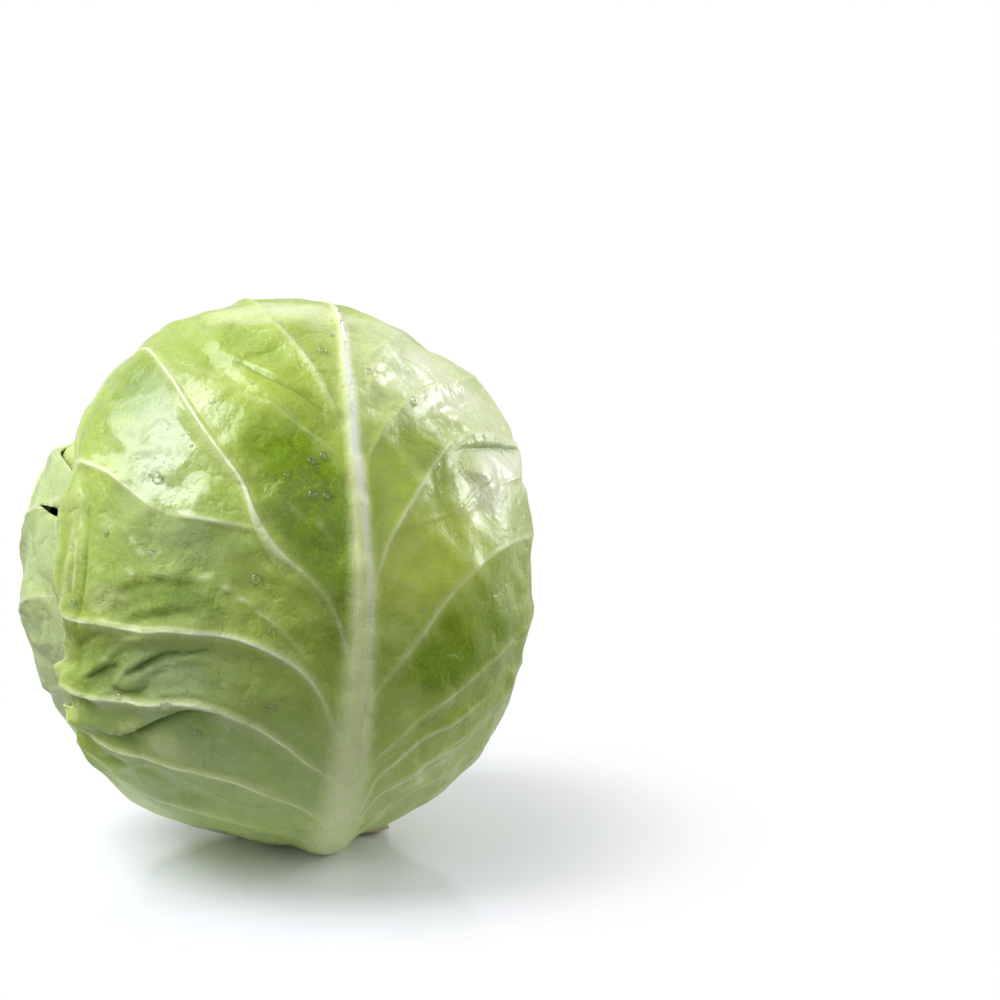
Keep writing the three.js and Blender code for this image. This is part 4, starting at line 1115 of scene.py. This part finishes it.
blades = {}
for number, (name, leaf) in enumerate(leaves.items()):
    blade = lay_leaf(name, leaf, list(leaves.values())[:number])
    ways = places(blade) / MM - HEAD_CENTRE
    ways /= np.linalg.norm(ways, axis=1)[:, None]
    for mark, spots in (("patch_and_painted_light", FRONT_PATCHES_AND_PAINTED_LIGHT), ("bloom_and_sheen", FRONT_BLOOM_AND_SHEEN), ("gloss", FRONT_GLOSS)):
        note(blade, **{mark: blots(leaf, ways, spots if name == "front_leaf" else [])})
    blade.data.materials.append(waxy_skin(name + "_skin", LEAF_COLOURS[name]))
    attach(blade, "root")
    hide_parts(f"wrapper_leaf_{number + 1}")
    blades[name] = blade


# ---- Heart ----------------------------------------------------------------------------------
# The dense ball of young leaves that the wrapper leaves close round. Its own leaves are pressed flat
# on it, one edge over the next.

HEART_CLEARANCE = 1.2
HEART_CRINKLES = [(5, 22, 0.3), (6, 9, 0.1)]
HEART_COLOURS = (0.66, 0.74, 0.38), (0.50, 0.62, 0.24), (0.76, 0.81, 0.54), (0.82, 0.85, 0.62)
FAR_FROM_VEINS = 9.0
EDGE_SLOPE = 1.5

# Edges of the young leaves: azimuth and elevation of each one's middle, its reach in degrees and
# how far it stands out in millimetres. A line of painted shade runs along the foot of each edge.
HEART_EDGES = [(-60, 62, 62, 0.9), (150, 35, 70, 0.8)]

bpy.ops.mesh.primitive_uv_sphere_add(segments=168, ring_count=110, radius=1)
heart = bpy.context.active_object
heart.name = heart.data.name = "heart_ball"
ways = places(heart)
ways /= np.linalg.norm(ways, axis=1)[:, None]
depth, shown = layering(leaves.values(), ways)
radius = head_radius(ways) - depth - HEART_CLEARANCE
crease = np.zeros(len(ways))
for azimuth, elevation, reach, step in HEART_EDGES:
    angle = degrees_from(ways, towards(azimuth, elevation))
    angle += 2.5 * crinkle(ways, azimuth + 90, 60)
    radius -= shown * step * smooth(angle, reach, reach + EDGE_SLOPE)
    # Painted shade along the foot of the edge.
    crease = np.maximum(crease, np.exp(-np.abs(angle - reach - EDGE_SLOPE) / 1.2))
radius += shown * sum(high * crinkle(ways, seed, length) for seed, length, high in HEART_CRINKLES)
put(heart, (HEAD_CENTRE + ways * lowest(ways, radius)[:, None]) * MM)
blank = np.zeros(len(ways))
for mark in ("core", "bold", "base", "reach", "line", "patch_and_painted_light", "bloom_and_sheen", "gloss"):
    note(heart, **{mark: blank})
note(heart, rib=blank + FAR_FROM_VEINS, vein=blank + FAR_FROM_VEINS, crease=crease,
     flow=ways * HEAD_RADIUS)
choose(heart)
bpy.ops.object.shade_smooth()
heart.data.materials.append(waxy_skin("heart_skin", HEART_COLOURS))
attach(heart, "root")
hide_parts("heart")


# ---- Water drops ----------------------------------------------------------------------------
# Beads of clean water left on the front leaf by rinsing, each drawn into a flat dome by its own
# weight on the wax, with a mist of far smaller ones round them.

# Drops: x and y in degrees in the front leaf's frame, radius in millimetres.
DROPS = [
    (-38.5, 35, 1.9), (-17, 12, 1.7), (-36, -16.5, 1.7), (-30, -24.5, 1.6), (22, -25, 1.1),
    (-62, 3.5, 1.2), (-40, 17.5, 1.1), (-3, 36.5, 1.4), (-0.5, 37.5, 1.0), (-9, 33.5, 1.0),
    (-4, 29, 1.5), (-1, 28.5, 1.1), (5, 64, 1.4), (15, 57, 1.3), (25, 49, 1.5), (26.5, 33.5, 1.3),
    (19, 3, 0.8), (-14, 1, 1.2), (-14, -16, 1.1), (25, -24, 0.9), (-48.5, -18, 1.2), (-52, 22, 0.9),
    (-34, 11, 0.9), (46, 40, 1.0), (55, 36.5, 0.9), (-10, 21, 0.8), (-24, 52, 1.0), (9, 69, 1.0),
]

# Mists of tiny drops: x, y, how far they spread in degrees, how many.
MISTS = [
    (-3, 34, 8, 26), (2, 56, 12, 18), (-30, 10, 14, 16), (-28, -19, 9, 16), (18, 28, 9, 14),
    (-50, 3, 9, 10), (-33, 45, 12, 12), (30, 40, 14, 14), (-20, 58, 14, 12),
]

# The radius of a mist's drops in millimetres, at the least and by how much more it varies.
MIST_RADIUS, MIST_VARIES = 0.28, 0.1
# How flat a drop is and how high its middle stands, as shares of its radius and of that flatness.
DROP_FLATNESS, DROP_STANDS = 0.55, 0.25
# The radius under which a drop has fewer faces, and how far out the search for the leaf starts.
COARSE_UNDER = 0.5
OUTSIDE = 200


def drop_on(surface, x, y, radius, turn):
    """A bead of water that sits on a surface, on the line out from the head's middle."""
    way = Vector(leaf_way(FRONT_LEAF, np.array([x]), np.array([y]))[0])
    middle = Vector(HEAD_CENTRE) * MM
    hit, normal, _, _ = surface.ray_cast(middle + way * (OUTSIDE * MM), -way)
    if hit is None:
        return []
    long, flat = radius * MM, radius * MM * DROP_FLATNESS
    bpy.ops.mesh.primitive_ico_sphere_add(
        subdivisions=3 if radius > COARSE_UNDER else 2, radius=1,
        location=hit + normal * flat * DROP_STANDS, rotation=normal.to_track_quat("Z", "Y").to_euler(),
        scale=(long, long * (0.8 + 0.3 * math.sin(turn) ** 2), flat))
    return [bpy.context.active_object]


mesh = blades["front_leaf"].data
corners = [v.co for v in mesh.vertices]
surface = BVHTree.FromPolygons(corners, [list(p.vertices) for p in mesh.polygons])
beads = []
for number, (x, y, radius) in enumerate(DROPS):
    beads += drop_on(surface, x, y, radius, number)
scatter = np.random.default_rng(4)
for x, y, spread, count in MISTS:
    for dx, dy, size in scatter.normal(size=(count, 3)):
        radius = MIST_RADIUS + MIST_VARIES * abs(size)
        beads += drop_on(surface, x + dx * spread / 2, y + dy * spread / 2, radius, size)
bpy.ops.object.select_all(action="DESELECT")
for bead in beads:
    bead.select_set(True)
bpy.context.view_layer.objects.active = water = beads[0]
bpy.ops.object.join()
bpy.ops.object.transform_apply(location=True, rotation=True, scale=True)
bpy.ops.object.shade_smooth()
water.name = water.data.name = "water_drops"
clear, _, _ = finish_of("clear_water", Base_Color=(1, 1, 1, 1), Roughness=0.02, IOR=1.31,
                        Transmission_Weight=1.0, Coat_Weight=1.0)
water.data.materials.append(clear)
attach(water, "root")


# ---- Studio ---------------------------------------------------------------------------------
# A pale glossy table top that fades out into a white room, with large soft lights. The camera looks
# down a little on the head, which stands left of the middle of its picture.

TABLE_RADIUS = 1.3
TABLE_FADE = (0.06, 0.15)
bpy.ops.mesh.primitive_circle_add(vertices=96, radius=TABLE_RADIUS, fill_type="NGON")
floor = bpy.context.active_object
floor.name = "table_top"
top, start, shader = finish_of("white_gloss", Roughness=0.12, Base_Color=(0.90, 0.90, 0.97, 1),
                               Specular_IOR_Level=0.35)
place = start.node("TexCoord", output="Object")
from_middle = start.vector("LENGTH", place, output="Value")
feed(shader, Alpha=from_middle.smooth(*TABLE_FADE, 1, 0))
floor.data.materials.append(top)

# Each soft light: the way to it from the head, its width and height in metres, its power in watts.
SOFT_LIGHTS = [
    ((-0.59, -0.04, 0.80), 0.50, 0.50, 6.0),
    ((0.88, 0.42, 0.25), 0.30, 0.24, 1.7),
    ((0.57, 0.58, 0.58), 0.11, 0.11, 0.45),
    ((-0.80, -0.50, 0.30), 0.90, 0.90, 2.9),
    ((0.55, -0.75, 0.35), 0.90, 0.90, 1.9),
]
LIGHT_DISTANCE = 0.75
COOL_WHITE = (0.92, 0.96, 1.0)
# How strongly the room glows in front of the head and behind it.
GLOW = (0.21, 0.80)
middle = Vector(HEAD_CENTRE) * MM
for way, width, height, watts in SOFT_LIGHTS:
    way = Vector(way).normalized()
    bpy.ops.object.light_add(type="AREA", location=middle + way * LIGHT_DISTANCE)
    light = bpy.context.active_object
    light.rotation_euler = way.to_track_quat("Z", "Y").to_euler()
    light.data.shape = "RECTANGLE"
    light.data.size, light.data.size_y = width, height
    light.data.energy = watts
    light.data.color = COOL_WHITE

world = bpy.data.worlds.new("white_room")
bpy.context.scene.world = world
world.use_nodes = True
room = Wire(world.node_tree)
seen = room.node("LightPath", output="Is Camera Ray")
glow = world.node_tree.nodes["Background"]
way = room.node("TexCoord", output="Generated")
side, behind, over = (room.node("SeparateXYZ", None, {0: way}, axis) for axis in "XYZ")
glowing = behind.smooth(-0.2, 0.8, *GLOW) * over.smooth(-0.7, 0.3, 0.3, 1) * side.smooth(0, 0.9, 1, 1.7)
strength = seen + (1 - seen) * glowing
world.node_tree.links.new(strength.socket, glow.inputs["Strength"])
glow.inputs["Color"].default_value = (1, 1, 1, 1)
bpy.context.scene.view_settings.view_transform = "Standard"

# The camera: how far it is from the head in millimetres, how far it looks down, how wide a pixel of
# its square picture is at the head, and how many pixels the head's middle lies left of and below the
# picture's.
CAMERA_DISTANCE = 1100
CAMERA_DOWN = 12 * DEGREE
MM_PER_PIXEL = 0.31
PICTURE_WIDTH = 1000
PIXELS_LEFT, PIXELS_BELOW = 221, 73
SENSOR_WIDTH = 36
aside, above_middle = PIXELS_LEFT * MM_PER_PIXEL, PIXELS_BELOW * MM_PER_PIXEL
ahead = np.array([0, math.cos(CAMERA_DOWN), -math.sin(CAMERA_DOWN)])
above = np.array([0, math.sin(CAMERA_DOWN), math.cos(CAMERA_DOWN)])
spot = HEAD_CENTRE - ahead * CAMERA_DISTANCE + np.array([1, 0, 0]) * aside + above * above_middle
bpy.ops.object.camera_add(location=Vector(spot) * MM, rotation=(math.pi / 2 - CAMERA_DOWN, 0, 0))
camera = bpy.context.active_object
camera.data.sensor_width = SENSOR_WIDTH
camera.data.lens = SENSOR_WIDTH * CAMERA_DISTANCE / (PICTURE_WIDTH * MM_PER_PIXEL)
bpy.context.scene.camera = camera

bpy.context.view_layer.update()
